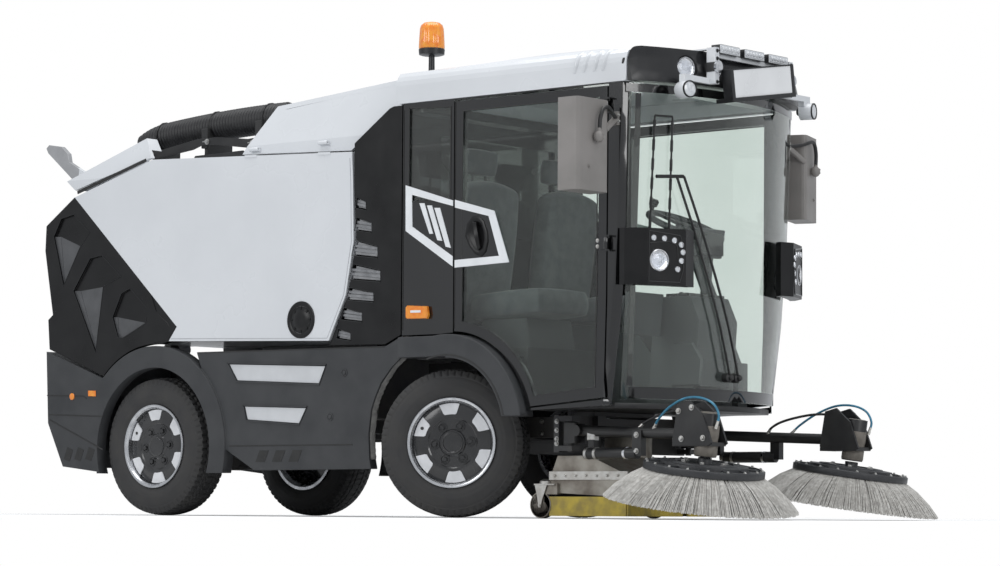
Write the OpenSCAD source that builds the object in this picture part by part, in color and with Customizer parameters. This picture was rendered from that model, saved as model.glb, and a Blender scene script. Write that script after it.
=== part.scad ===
// Compact street sweeper truck. Millimetres, +X forward, +Y to its left, +Z up.
// The origin is on the ground under the middle of its length and width.
// Outlines called "side" are drawn in X and Z, and outlines called "plan" in X and Y.

/* [Wheels] */
// Distance between the two axles
wheelbase = 1846; // [1830:2:1860]
// Radius of a tyre
tyre_r = 345; // [340:1:346]
// Width of a tyre
tyre_w = 205; // [195:1:205]
// Radius of a rim's outer flange
rim_r = 210; // [205:1:212]
// Distance from the centre line to the middle of a wheel
half_track = 545; // [542:1:546]
// Angle at which the front wheels stand, turned to the left
steer_rest = 28; // [24:1:30]

/* [Body] */
// Half the width over the side panels
half_w = 655; // [652:1:658]
// Thickness of a cab or hopper side wall
wall = 40; // [36:1:44]
// Gap between panels that move and their neighbours
gap = 8; // [7:1:9]
// Height of the seam between the lower skirts and the upper panels
seam_z = 806; // [802:1:810]
// Height of the cab roof's lower edge
roof_z = 1928; // [1924:1:1932]
// Height of the cab roof's top
roof_top_z = 2084; // [2078:1:2090]

/* [Brooms] */
// Radius that the bristle tips reach
bristle_r = 430; // [420:1:432]
// Radius of a broom's disc
disc_r = 265; // [255:1:270]
// Distance from the centre line to a broom's centre
broom_y = 572; // [565:1:580]
// Forward lean of a broom's disc
broom_lean = 8; // [7:0.5:8.5]

/* [Hidden] */
$fn = 48;

rear_x = -1410;
front_x = rear_x + wheelbase;
axle_z = tyre_r;
kingpin_y = 445;
king_off = half_track - kingpin_y;
inner_y = half_w - wall;
floor_y = inner_y - 21;
rail_y = 170;
rail_w = 60;
rail_z = 375;
rail_h = 95;

// Cab outline: the back wall, the rear edge of the door, its front edge and the hinge line
cab_x = 252;
door_x0 = 572;
door_x1 = 1452;
door_hinge = [1464, -half_w - 18];
hinge_z = [1190, 1800];
glass_t = 5;
// The windscreen is turned about a vertical line: columns are height and radius
screen_cx = 440;
screen = [[530, 1195], [900, 1237], [1300, 1264], [roof_z, 1285]];
screen_half = 29.4;

// Hopper: its tipping pin at the rear, and its floor
tip_pin = [-2155, 888];
tow_x = -2180;
bin_floor_z = 905;
bin_front_x = -300;
lid_axis = [-622, 1790];
door_axis = [-2122, 1640];

// Broom: the swing post, the lift pin (x and z) and the disc's centre on the right side
post = [1095, -450];
lift_pin = [1178, 396];
disc_c = [1925, -broom_y, 205];

// ---------------------------------------------------------------- helpers

function arc(cx, cy, r, a0, a1, n) = [for (i = [0 : n]) let (a = a0 + (a1 - a0) * i / n)
    [cx + r * cos(a), cy + r * sin(a)]];

// Extrudes a side outline across the vehicle from y0 to y1
module across(y0, y1) translate([0, y1, 0]) rotate([90, 0, 0]) linear_extrude(y1 - y0) children();

// Extrudes an outline in Y and Z along the vehicle from x0 to x1
module along(x0, x1) translate([x0, 0, 0]) rotate([90, 0, 90]) linear_extrude(x1 - x0) children();

// Box from its lowest to its highest corner
module block(lo, hi) translate(lo) cube(hi - lo);

// The child made on the right side, kept there or mirrored to the left
module on_side(left) if (left) mirror([0, 1, 0]) children(); else children();

module both_sides() {
    children();
    mirror([0, 1, 0]) children();
}

// Rod along Y
module rod_y(x, z, r, y0, y1) translate([x, y0, z]) rotate([-90, 0, 0]) cylinder(r = r, h = y1 - y0);

// Round tube or rod between two points
module strut(a, b, r) {
    v = b - a;
    translate(a) rotate([0, acos(v[2] / norm(v)), atan2(v[1], v[0])]) cylinder(r = r, h = norm(v));
}

// Space that the right front tyre sweeps between its locks, with 9 mm to spare
module tyre_sweep() {
    reach = sqrt(pow(tyre_r, 2) + pow(king_off + tyre_w / 2, 2)) + 9;
    intersection() {
        translate([front_x, -kingpin_y, axle_z]) sphere(r = reach);
        block([front_x - 500, -1000, 0], [front_x + 500, 0, axle_z + tyre_r + 9]);
    }
}

// ---------------------------------------------------------------- chassis

module frame_rails() color("dimgray") {
    both_sides() {
        block([-2080, -rail_y - rail_w, rail_z], [1080, -rail_y, rail_z + rail_h]);
        // upright that carries the hopper's tipping pin
        block([-2180, -rail_y - rail_w, rail_z], [-2080, -rail_y, 800]);
        across(-rail_y - rail_w, -rail_y) polygon([[-2180, 799], [-2080, 799], [-2130, 895], [-2180, 895]]);
        rod_y(tip_pin[0], tip_pin[1], 28, -rail_y - rail_w, -rail_y);
        rod_y(tip_pin[0], tip_pin[1], 14, -rail_y - rail_w - 90, -rail_y);
        // outrigger that carries the skirt
        for (x = [-700, -60])
            block([x, -inner_y + 10, rail_z + 20], [x + 60, -rail_y, rail_z + 80]);
        // bracket of a broom's swing post
        block([post[0] - 75, post[1] - 30, 300], [post[0] - 45, -rail_y, 470]);
        for (z = [306, 440])
            block([post[0] - 60, post[1] - 30, z], [post[0] + 30, post[1] + 30, z + 24]);
        translate([post[0], post[1], 300]) cylinder(r = 14, h = 190);
    }
    for (x = [-1980, -640, 20, 1020])
        block([x, -rail_y - 1, rail_z + 10], [x + 60, rail_y + 1, rail_z + rail_h - 10]);
    // towing jaw with its pin hole
    difference() {
        block([tow_x - 40, -45, rail_z + 20], [-1979, 45, rail_z + 60]);
        translate([tow_x, 0, rail_z]) cylinder(r = 16, h = 100);
    }
}

module front_axle() color("dimgray") {
    block([front_x - 40, -400, axle_z - 40], [front_x + 40, 400, axle_z + 20]);
    block([front_x - 60, -rail_y - rail_w, axle_z + 19], [front_x + 60, rail_y + rail_w, rail_z]);
    both_sides() {
        block([front_x - 28, -kingpin_y, axle_z - 40], [front_x + 28, -399, axle_z + 40]);
        translate([front_x, -kingpin_y, axle_z - 40]) cylinder(r = 30, h = 80);
        translate([front_x, -kingpin_y, axle_z - 95]) cylinder(r = 13, h = 190);
    }
}

module rear_axle() color("dimgray") {
    block([rear_x - 45, -430, axle_z - 45], [rear_x + 45, 430, axle_z + 30]);
    rod_y(rear_x, axle_z, 110, -95, 95);
    both_sides() {
        rod_y(rear_x, axle_z, 55, -450, -425);
        rod_y(rear_x, axle_z, 22, -612, -449);
        // leaf pack and its clamp under the rail
        for (i = [0 : 3])
            block([rear_x - 330 + 60 * i, -rail_y - rail_w, rail_z - 9 * i - 9],
                  [rear_x + 330 - 60 * i, -rail_y, rail_z - 9 * i]);
    }
}

module power_pack() color("silver")
    block([-930, -370, rail_z + rail_h], [-150, 370, 840]);

// ---------------------------------------------------------------- cab

module screen_solid(grow) translate([screen_cx, 0, 0]) rotate([0, 0, -90])
    rotate_extrude(angle = 360, $fn = 360)
        polygon(concat([[0, screen[0][0] - 40], [screen[0][1] + grow, screen[0][0] - 40]],
            [for (row = screen) [row[1] + grow, row[0]]], [[0, roof_z]]));

module cab_floor() color("#202224") difference() {
    union() {
        // deck over the wheels, step and front footwell pan
        block([cab_x + 40, -floor_y, 735], [960, floor_y, 775]);
        block([930, -floor_y, 500], [960, floor_y, 736]);
        intersection() {
            block([930, -floor_y, 480], [1800, floor_y, 515]);
            screen_solid(-18);
        }
        block([940, -rail_y - rail_w, rail_z + rail_h], [1060, rail_y + rail_w, 501]);
        // posts and beams that carry the deck behind the wheels
        both_sides() {
            block([50, -rail_y - rail_w, rail_z + rail_h], [110, -rail_y, 736]);
            block([50, -rail_y - rail_w, 704], [600, -rail_y, 736]);
        }
    }
    both_sides() tyre_sweep();
}

// Side outline of the door opening, with its lower edge following the fender
module door_side(shrink) difference() {
    polygon([[door_x0 + shrink, 520], [980, 500 + shrink], [door_x1 - 12 - shrink, 536 + shrink],
        [door_x1 - shrink, 980], [door_x1 + 4 - shrink, roof_z - 12 - shrink],
        [door_x0 + shrink, roof_z - 12 - shrink]]);
    translate([555, 390]) circle(r = 466 + shrink, $fn = 96);
}

module quarter_window() polygon([[292, 1474], [540, 1458], [540, 1890], [292, 1904]]);

module cab_frame() color("#17181a") {
    difference() {
        both_sides() across(-half_w, -inner_y) difference() {
            polygon([[cab_x, 846], [600, 846], [980, 484], [1450, 500], [1476, 530], [1546, 1300],
                [1566, roof_z], [cab_x, roof_z]]);
            door_side(-gap);
            quarter_window();
            translate([555, 390]) circle(r = 460, $fn = 96);
        }
        // the windscreen's side edge is cut into the front post
        difference() {
            block([1400, -half_w - 1, 470], [1800, half_w + 1, roof_z + 1]);
            screen_solid(-6);
        }
    }
    // back wall with its window, and the two roof rails
    difference() {
        union() {
            block([cab_x, -floor_y, 776], [cab_x + 40, floor_y, 851]);
            block([cab_x, -inner_y - 1, 850], [cab_x + 40, inner_y + 1, roof_z]);
        }
        block([cab_x - 1, -430, 1350], [cab_x + 41, 430, 1800]);
    }
    block([cab_x + 39, -inner_y - 1, roof_z - 40], [cab_x + 90, inner_y + 1, roof_z]);
    // door hinge pins, each in two lugs
    both_sides() for (z = hinge_z) {
        translate([door_hinge[0], door_hinge[1], z - 10]) cylinder(r = 6, h = 70);
        for (lug = [z - 10, z + 53])
            block([door_hinge[0] - 6, door_hinge[1] - 8, lug], [door_hinge[0] + 24, -half_w + 1, lug + 7]);
    }
}

// Cross-section that rounds the roof's long edges
module roof_section(half, z0, z1, r) polygon(concat([[half, z0]],
    arc(half - r, z1 - r, r, 0, 90, 6), arc(r - half, z1 - r, r, 90, 180, 6), [[-half, z0]]));

module cab_roof() color("white") difference() {
    intersection() {
        across(-half_w - 8, half_w + 8) polygon([[214, roof_z + 30], [230, roof_z + 2], [1560, roof_z + 2],
            [1600, roof_top_z - 20], [1380, roof_top_z + 6], [1100, roof_top_z + 12], [700, roof_top_z - 2],
            [214, roof_top_z - 8]]);
        along(0, 1700) roof_section(half_w + 8, roof_z, roof_top_z + 14, 84);
        union() {
            block([0, -700, 1900], [1565, 700, 2200]);
            translate([screen_cx, 0, 1900]) cylinder(r = 1190, h = 300, $fn = 96);
        }
    }
    block([300, -580, roof_z], [1440, 580, roof_z + 80]);
}

module roof_visor() color("#17181a") difference() {
    intersection() {
        along(1400, 1900) roof_section(half_w + 4, roof_z, roof_top_z + 6, 70);
        translate([screen_cx, 0, roof_z + 2]) cylinder(r1 = 1330, r2 = 1295, h = 160, $fn = 96);
    }
    translate([screen_cx, 0, 1900]) cylinder(r = 1196, h = 300, $fn = 96);
    block([1390, -700, 1900], [1571, 700, 2200]);
    // lamp wells: big ones outboard, small ones inboard
    both_sides() {
        lamp_well(17, 56, 70);
        lamp_well(9.4, 33, 50);
    }
}

// Well cut into the visor at an angle round the windscreen's centre line
module lamp_well(turn, r, depth) translate([screen_cx, 0, 2006]) rotate([0, 0, -turn])
    translate([1320 - depth, 0, 0]) rotate([0, 90, 0]) cylinder(r = r, h = 100);

module cab_glass() color("lightcyan", 0.35) {
    // windscreen
    translate([screen_cx, 0, 0]) rotate([0, 0, -screen_half])
        rotate_extrude(angle = 2 * screen_half, $fn = 144)
        polygon(concat([for (row = screen) [row[1], row[0]]],
            [for (i = [3 : -1 : 0]) [screen[i][1] - glass_t, screen[i][0]]]));
    // quarter windows and the rear window
    both_sides() across(-half_w + 6, -half_w + 11) quarter_window();
    block([cab_x + 16, -430, 1350], [cab_x + 21, 430, 1800]);
}

module dashboard() color("#26282b") {
    across(-150, 150)
        polygon([[1300, 515], [1560, 515], [1590, 900], [1540, 1010], [1380, 1010], [1330, 900]]);
    across(-70, 70) polygon([[960, 515], [1310, 515], [1310, 700], [1180, 860], [960, 860]]);
    // display on its stalk
    across(60, 90) polygon([[1440, 1009], [1480, 1009], [1500, 1240], [1470, 1240]]);
    across(-20, 170) polygon([[1460, 1200], [1486, 1200], [1506, 1330], [1480, 1330]]);
}

module steering_wheel() color("#17181a") {
    translate([1210, 262, 1370]) rotate([0, 24, 0]) {
        rotate_extrude() translate([180, 0]) circle(r = 15, $fn = 24);
        cylinder(r = 45, h = 24, center = true);
        for (a = [0 : 120 : 240])
            rotate([0, 0, a + 180]) translate([30, -14, -7]) cube([142, 28, 14]);
    }
    // column down to the floor
    strut([1215, 262, 1360], [1500, 262, 700], 32);
    block([1430, 225, 515], [1540, 300, 720]);
}

// Seat: pedestal, cushion, back and headrest
module seats() color("#303336") both_sides()
    across(-520, -90) union() {
        polygon([[560, 776], [880, 776], [850, 930], [590, 930]]);
        polygon([[500, 929], [960, 929], [980, 1010], [940, 1060], [520, 1040]]);
        polygon([[380, 1000], [500, 960], [530, 1050], [470, 1420], [450, 1600], [400, 1610], [370, 1420]]);
        polygon([[395, 1605], [455, 1600], [440, 1740], [385, 1740]]);
    }

module mirrors() color("#55585b") {
    both_sides() {
        strut([1535, -775, 1700], [1512, -668, 1765], 14);
        block([1494, -672, 1735], [1524, -half_w, 1795]);
    }
    mirror_head();
    // the left head is turned towards the driver
    mirror([0, 1, 0]) translate([1528, -763, 0]) rotate([0, 0, -20]) translate([-1528, 763, 0])
        mirror_head();
}

// Right mirror head with rounded edges
module mirror_head() translate([0, 0, 1425]) linear_extrude(405) polygon(concat(
    arc(1528, -963, 22, -90, 0, 3), arc(1528, -785, 22, 0, 90, 3), [[1440, -763], [1440, -985]]));

module headlamps() color("#202224") both_sides()
    difference() {
        translate([0, 0, 1030]) linear_extrude(250) polygon([[1490, -656], [1560, -664], [1640, -600],
            [1716, -420], [1700, -340], [1500, -400], [1500, -600]]);
        // clear of the windscreen and the post
        translate([screen_cx, 0, 0]) cylinder(r = 1275, h = 2000, $fn = 360);
        block([1300, -660, 1000], [1540, -610, 1300]);
        translate([1626, -529, 1139]) rotate([0, 0, -23]) rotate([0, 90, 0]) cylinder(r = 48, h = 200);
    }

module roof_lamps() color("silver") {
    // white uprights beside the sign, with the strobe bars on a rail between them
    both_sides() {
        block([1743, -305, 1936], [1790, -275, 2100]);
        block([1640, -305, 2090.4], [1744, -275, 2097]);
    }
    block([1745, -276, 2060], [1765, 276, 2080]);
    for (y = [-190, 0, 190])
        block([1740, y - 75, 2079], [1790, y + 75, 2116]);
    // outer work lamps on the visor
    both_sides() {
        block([1743, -460, 1936], [1760, -304, 1962]);
        block([1728, -490, 1915], [1760, -440, 1962]);
        translate([1722, -470, 1893]) rotate([0, 90, -15]) cylinder(r = 38, h = 62);
    }
}

module sign_box() color("white") translate([1790.5, 0, 1975]) rotate([9, 0, 0])
    block([0, -248, -66], [46, 248, 66]);

module beacon() color("orange") translate([285, -495, 0]) {
    translate([0, 0, 2078]) cylinder(r = 30, h = 14);
    translate([0, 0, 2091]) cylinder(r = 14, h = 81);
    translate([0, 0, 2171]) cylinder(r = 62, h = 34);
    translate([0, 0, 2204]) cylinder(r1 = 62, r2 = 56, h = 98);
    translate([0, 0, 2301]) cylinder(r1 = 56, r2 = 36, h = 31);
}

// ---------------------------------------------------------------- lower body

// Flared arch over a front wheel
module front_fenders() color("#3a3c3f") both_sides() across(-700, -600) difference() {
    union() {
        translate([555, 390]) circle(r = 452, $fn = 96);
        translate([262, 390]) square([293, 446]);
    }
    translate([555, 390]) circle(r = 342, $fn = 96);
    square([262, 1000]);
    translate([200, 300]) square([355, 440]);
    translate([0, -100]) square([1100, 560]);
}

// Disc behind a rear wheel arch between two values of X
module arch_disc(x0, x1) intersection() {
    translate([-1398, 335]) circle(r = 510, $fn = 96);
    translate([x0, 210]) square([x1 - x0, 700]);
}

// Lower side of the body, from the rear arch to the front one
module side_skirts() color("#3a3c3f") both_sides() difference() {
    union() {
        across(-half_w - 12, -600) difference() {
            arch_disc(-1326, -800);
            translate([-1398, 335]) circle(r = 402, $fn = 96);
        }
        across(-half_w, -inner_y + 10) difference() {
            polygon([[-1100, seam_z], [150, seam_z - 6], [258, 846], [258, 752], [190, 700], [124, 631],
                [85, 560], [62, 503], [47, 386], [54, 269], [64, 226], [-700, 222], [-905, 330]]);
            translate([-1398, 335]) circle(r = 470, $fn = 96);
        }
    }
    tyre_sweep();
    // recessed seats of the pale inserts
    translate([0, -half_w + 6, 0]) rotate([90, 0, 0]) linear_extrude(40) {
        polygon([[-885, 748], [-226, 722], [-270, 628], [-823, 654]]);
        polygon([[-774, 539], [-348, 524], [-400, 439], [-753, 463]]);
    }
}

// Glossy panel between hopper and cab, with seven louvre slots
// columns: middle x, middle z, width, height
vents = [[-13, 1477, 67, 66], [3, 1375, 110, 80], [14, 1261, 165, 94], [15, 1148, 200, 94],
    [-16, 1046, 177, 78], [-67, 954, 135, 76], [-117, 861, 92, 62]];

module vent_slot(v) polygon([[v[0] - v[2] / 2, v[1] - v[3] * 0.28], [v[0] + v[2] / 2, v[1] - v[3] / 2],
    [v[0] + v[2] / 2, v[1] + v[3] * 0.1], [v[0] - v[2] * 0.36, v[1] + v[3] / 2]]);

module vent_outline() polygon([[-205, seam_z + gap], [146, seam_z + 2], [cab_x - gap, 850],
    [cab_x - gap, roof_z - 4], [190, roof_z - 4], [164, 1916], [-56, 1768], [-56, 1580], [-40, 1300],
    [-90, 1050]]);

module vent_panels() color("#101113") {
    both_sides() {
        across(-half_w, -inner_y) difference() {
            vent_outline();
            for (v = vents) vent_slot(v);
        }
        // plate behind the slots
        across(-inner_y - 1, -inner_y + 10) vent_outline();
    }
    // bulkhead that ties both panels to the deck's beams
    block([186, -inner_y - 1, 858], [cab_x - gap, inner_y + 1, 1880]);
    block([186, -floor_y, 776], [cab_x - gap, floor_y, 859]);
    both_sides() block([186, -rail_y - rail_w, 736], [cab_x - gap, -rail_y, 777]);
}

module rear_bumper() color("#3a3c3f") difference() {
    union() {
        both_sides() across(-half_w - 6, -600) difference() {
            union() {
                polygon([[-2187, 838], [-1766, 692], [-1744, 709], [-1744, 213], [-2053, 246],
                    [-2169, 470]]);
                arch_disc(-1800, -1330);
            }
            translate([-1398, 335]) circle(r = 402, $fn = 96);
        }
        across(-601, 601) polygon([[-2187, 838], [-2120, 815], [-2120, 470], [-2020, 330], [-2020, 242],
            [-2053, 246], [-2169, 470]]);
    }
    // room for the uprights of the tipping pin
    both_sides() block([-2181, -rail_y - rail_w - 2, 360], [-2040, -rail_y + 2, 900]);
    // slot for the towing jaw
    block([-2250, -46, rail_z + 19], [-2000, 46, rail_z + 61]);
}

// ---------------------------------------------------------------- suction gear

module suction_mouth() color("#8a857c") {
    // nozzle box, open below and in front
    difference() {
        across(-425, 425) polygon([[930, 120], [1440, 95], [1420, 190], [1180, 285], [1000, 285]]);
        across(-405, 405) polygon([[950, 60], [1460, 60], [1410, 165], [1176, 268], [1010, 268]]);
        translate([1080, 0, 200]) cylinder(r = 100, h = 200);
    }
    // suction pipe up between the rails
    difference() {
        translate([1080, 0, 262]) cylinder(r = 110, h = 112);
        translate([1080, 0, 200]) cylinder(r = 100, h = 200);
    }
    // casters
    both_sides() {
        block([900, -440, 110], [1010, -400, 160]);
        rod_y(912, 62, 60, -440, -404);
    }
}

// ---------------------------------------------------------------- front wheels

module knuckle(left) color("dimgray") on_side(left)
    translate([front_x, -kingpin_y, axle_z]) rotate([0, 0, left ? -steer_rest : steer_rest]) {
        for (z = [-86, 42])
            difference() {
                union() {
                    translate([0, 0, z]) cylinder(r = 27, h = 44);
                    block([-24, -72, z], [24, 0, z + 44]);
                }
                translate([0, 0, z - 1]) cylinder(r = 13.1, h = 46);
            }
        block([-30, -74, -86], [30, -50, 86]);
        rod_y(0, 0, 22, -king_off - 67, -70);
        rod_y(0, 0, 48, -86, -73);
    }

// Places a wheel made about the origin, outer face towards -Y
module at_wheel(front, left) on_side(left)
    if (front)
        translate([front_x, -kingpin_y, axle_z]) rotate([0, 0, left ? -steer_rest : steer_rest])
            translate([0, -king_off, 0]) children();
    else
        translate([rear_x, -half_track, axle_z]) children();

// Turns an outline of radius and distance outboard about the wheel's axle
module spun() rotate([90, 0, 0]) rotate_extrude($fn = 96) children();

module rim(front, left) color("silver") at_wheel(front, left) difference() {
    union() {
        // barrel with both flanges
        spun() polygon([[194, -100], [rim_r, -100], [rim_r, -88], [192, -84], [188, 20], [192, 78],
            [rim_r, 88], [rim_r, 97], [198, 97], [180, 84], [176, 20], [180, -84]]);
        // dished disc and hub
        spun() polygon([[22.1, 34], [60, 34], [183, 44], [183, 66], [120, 62], [70, 72], [22.1, 74]]);
    }
    for (i = [0 : 5]) {
        rotate([0, 60 * i + 30, 0]) translate([135, -30, 0]) rotate([90, 0, 0]) linear_extrude(60)
            polygon([[-14, -24], [18, -36], [34, -24], [34, 24], [18, 36], [-14, 24]]);
        rotate([0, 60 * i, 0]) translate([84, -30, 0]) rotate([90, 0, 0]) cylinder(r = 13, h = 60);
    }
}

module tyre(front, left) color("#1b1b1c") at_wheel(front, left) spun() {
    half = tyre_w / 2;
    polygon(concat([[rim_r + 1, -half + 12], [rim_r + 40, -half], [rim_r + 80, -half + 2]],
        arc(tyre_r - 26, -half + 32, 26, -60, 0, 4), arc(tyre_r - 26, half - 32, 26, 0, 60, 4),
        [[rim_r + 80, half - 2], [rim_r + 40, half], [rim_r + 1, half - 12], [rim_r + 1, 87],
        [194.5, 74], [194.5, -80], [rim_r + 1, -86.5]]));
}

// ---------------------------------------------------------------- doors

module door(left) color("#101113") on_side(left) {
    across(-half_w, -half_w + 34) difference() {
        door_side(0);
        door_side(46);
    }
    // hinge leaves that reach out to the hinge line
    for (z = hinge_z)
        difference() {
            union() {
                block([door_x1 - 42, door_hinge[1] - 8, z], [door_x1 - 6, -half_w + 1, z + 50]);
                block([door_x1 - 42, door_hinge[1] - 8, z], [door_hinge[0], door_hinge[1] + 8, z + 50]);
                translate([door_hinge[0], door_hinge[1], z]) cylinder(r = 11, h = 50);
            }
            translate([door_hinge[0], door_hinge[1], z - 1]) cylinder(r = 6.1, h = 52);
        }
}

module door_glass(left) color("#39443f", 0.5) on_side(left)
    across(-half_w + 4, -half_w + 9) door_side(46);

// ---------------------------------------------------------------- hopper

// Seam between the white shell and the black moulding, and the lower front corner
seam_top = [-1997, 1626];
seam_low = [-1241, 936];

module bin_side() difference() {
    polygon([seam_top, [-1426, 1782], [-73, 1728], [-65, 1590], [-58, 1300], [-105, 1050],
        [-213, 836], [-1297, 866], seam_low]);
    translate([-1398, 335]) circle(r = 520, $fn = 96);
}

module moulding_side() difference() {
    polygon([seam_top, [-2208, 1489], [-2214, 1360], [-2150, 1028], [-2185, 1003], [-2172, 850],
        [-1759, 700], [-1600, 800], [-1297, 866], seam_low]);
    translate([-1398, 335]) circle(r = 520, $fn = 96);
    // parallel to the bumper's upper edge
    polygon([[-2300, 820], [-2187, 846], [-1740, 694], [-1740, 500], [-2300, 500]]);
}

module hopper_bin() color("white") {
    both_sides() across(-half_w, -inner_y) bin_side();
    // floor, front wall and roof
    block([-2090, -inner_y + 1, bin_floor_z], [-1229, inner_y - 1, bin_floor_z + 25]);
    block([-1230, -inner_y - 1, bin_floor_z], [bin_front_x + 20, inner_y + 1, bin_floor_z + 25]);
    block([bin_front_x, -inner_y - 1, bin_floor_z], [bin_front_x + 20, inner_y + 1, 1700]);
    across(-inner_y - 1, inner_y + 1) polygon([[-1960, 1607], [-1426, 1755], [bin_front_x, 1712],
        [bin_front_x, 1692], [-1426, 1735], [-1935, 1594]]);
    // tipping barrels and their arms
    both_sides() difference() {
        union() {
            rod_y(tip_pin[0], tip_pin[1], 30, -rail_y - rail_w - 88, -rail_y - rail_w - 6);
            block([tip_pin[0], -rail_y - rail_w - 88, bin_floor_z],
                  [-2080, -rail_y - rail_w - 6, bin_floor_z + 13]);
        }
        rod_y(tip_pin[0], tip_pin[1], 14.1, -400, -rail_y);
    }
}

// Three tall recesses in the moulding's outer face
recesses = [[[-2151, 1431], [-2096, 1522], [-2001, 1539], [-1880, 1440], [-1950, 1369], [-2073, 1174]],
    [[-1998, 1145], [-1875, 1307], [-1788, 1319], [-1645, 1203], [-1775, 1158], [-1826, 825]],
    [[-1705, 1000], [-1640, 1119], [-1579, 1142], [-1453, 1036], [-1463, 962], [-1626, 892], [-1665, 898]]];

module rear_moulding() color("#101113") {
    both_sides() difference() {
        across(-half_w, -inner_y) moulding_side();
        across(-half_w - 1, -half_w + 12) for (r = recesses) polygon(r);
    }
    // sill below the rear door
    across(-inner_y, inner_y) polygon([[-2150, 1024], [-2180, 1003], [-2178, 945], [-2140, 931],
        [-2100, 931], [-2100, 960], [-2120, 1024]]);
}

module rear_cover() color("white") {
    difference() {
        intersection() {
            across(-612, 612) polygon([[-2103, 1718], [-1556, 1907], [-1498, 1802], [-2040, 1668]]);
            along(-2200, -1400) polygon([[-612, 1600], [-612, 1720], [-560, 1960], [560, 1960], [612, 1720],
                [612, 1600]]);
        }
        across(-570, 570)
            polygon([[-2060, 1712], [-1558, 1884], [-1480, 1800], [-1480, 1700], [-2030, 1640]]);
        // open over the hose's tail
        block([-1960, -500, 1650], [-1400, 500, 2000]);
    }
    // feet on the bin's roof
    both_sides() across(-600, -569)
        polygon([[-1800, 1652.5], [-1540, 1724.5], [-1540, 1800], [-1800, 1740]]);
    // rear door's hinge pins
    both_sides() {
        across(-430, -422)
            polygon([[-2088, 1716], [-2130, 1652], [-2130, 1630], [-2114, 1630], [-2060, 1690]]);
        rod_y(door_axis[0], door_axis[1], 6, -430, -390);
    }
    // pale wing at each rear corner
    both_sides() across(-530, -505) polygon([[-2060, 1700], [-2150, 1740], [-2340, 1890], [-2355, 1915],
        [-2335, 1930], [-2240, 1915], [-2190, 1875], [-2180, 1830], [-2040, 1760]]);
}

// The wander hose lies in one long arc over the hopper, in three saddles
hose_r = 75;
hose_bend = 9000;
hose_end = [-880, -235, 2000];

module wander_hose() color("#1b1b1c") {
    translate(hose_end - [0, 0, hose_bend]) rotate([90, 0, 0])
        rotate_extrude(angle = 6.5, start = 90) translate([hose_bend, 0]) circle(r = hose_r);
    across(-325, -145) {
        polygon([[-1010, 1739.6], [-990, 1738.8], [-990, 1950], [-1010, 1950]]);
        polygon([[-1390, 1754.2], [-1370, 1753.4], [-1370, 1940], [-1390, 1940]]);
        polygon([[-1770, 1660.3], [-1750, 1665.8], [-1750, 1920], [-1770, 1920]]);
    }
}

module top_cover() color("white") {
    difference() {
        intersection() {
            across(-606, 606) polygon([[-845, 1772], [-650, 1999], [194, 2071], [172, 1940], [-121, 1742]]);
            along(-900, 300) polygon([[-606, 1700], [-606, 1810], [-540, 2090], [540, 2090], [606, 1810],
                [606, 1700]]);
        }
        across(-566, 566) polygon([[-790, 1760], [-640, 1976], [170, 2046], [150, 1920], [-121, 1730]]);
    }
    // hinge knuckles on the right side
    for (x = [-780, -320])
        difference() {
            union() {
                translate([x, lid_axis[0], lid_axis[1]]) rotate([0, 90, 0]) cylinder(r = 10, h = 60);
                block([x, lid_axis[0] - 2, lid_axis[1] - 10], [x + 60, -600, lid_axis[1] + 4]);
            }
            translate([x - 1, lid_axis[0], lid_axis[1]]) rotate([0, 90, 0]) cylinder(r = 4, h = 62);
        }
}

module rear_door() color("#17181a") {
    across(-inner_y + gap, inner_y - gap) polygon([[-2040, 1598], [-2060, 1600], [-2196, 1486],
        [-2204, 1360], [-2150, 1040], [-2118, 1040], [-2168, 1360], [-2162, 1470], [-2040, 1572]]);
    // ears on the hinge pins
    both_sides() across(-416, -396) difference() {
        union() {
            translate(door_axis) circle(r = 14);
            polygon([[-2136, 1640], [-2108, 1640], [-2060, 1590], [-2100, 1558]]);
        }
        translate(door_axis) circle(r = 6.1);
    }
}

// ---------------------------------------------------------------- brooms

// Sleeve that turns on the swing post, with the fork that the arm lifts in
module broom_pivot(left) color("#202224") on_side(left) difference() {
    union() {
        translate([post[0], post[1], 333]) cylinder(r = 34, h = 104);
        block([post[0] + 20, post[1] - 74, 340], [post[0] + 44, post[1] + 20, 430]);
        for (y = [post[1] - 74, post[1] + 4])
            across(y, y + 16) union() {
                translate([post[0] + 40, 340]) square([40, 90]);
                translate([lift_pin[0], lift_pin[1]]) circle(r = 26);
            }
        rod_y(lift_pin[0], lift_pin[1], 10, post[1] - 74, post[1] + 20);
    }
    translate([post[0], post[1], 332]) cylinder(r = 14.1, h = 106);
}

module broom_arm(left) color("#202224") on_side(left) {
    // eye on the lift pin, upper tube, lower cylinder and its lugs
    difference() {
        union() {
            rod_y(lift_pin[0], lift_pin[1], 24, post[1] - 52, post[1] - 2);
            strut([lift_pin[0] + 14, -477, lift_pin[1]], [1840, -548, 372], 24);
        }
        rod_y(lift_pin[0], lift_pin[1], 10.1, post[1] - 60, post[1] + 10);
    }
    strut([1240, -522, 292], [1540, -535, 292], 26);
    block([1520, -552, 280], [1570, -515, 392]);
    block([1236, -502, 300], [1266, -470, 392]);
    for (y = [-broom_y - 62, -broom_y + 50])
        across(y, y + 12) polygon([[1800, 340], [1830, 500], [1890, 515], [1965, 450], [2010, 330],
            [1990, 318], [1810, 322]]);
    block([1800, -broom_y - 60, 318], [2000, -broom_y + 60, 334]);
    translate(disc_c) rotate([2, broom_lean, 0]) {
        translate([0, 0, 70]) cylinder(r = 48, h = 190);
    }
}

module tilted(left) on_side(left) translate(disc_c) rotate([2, broom_lean, 0]) children();

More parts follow.
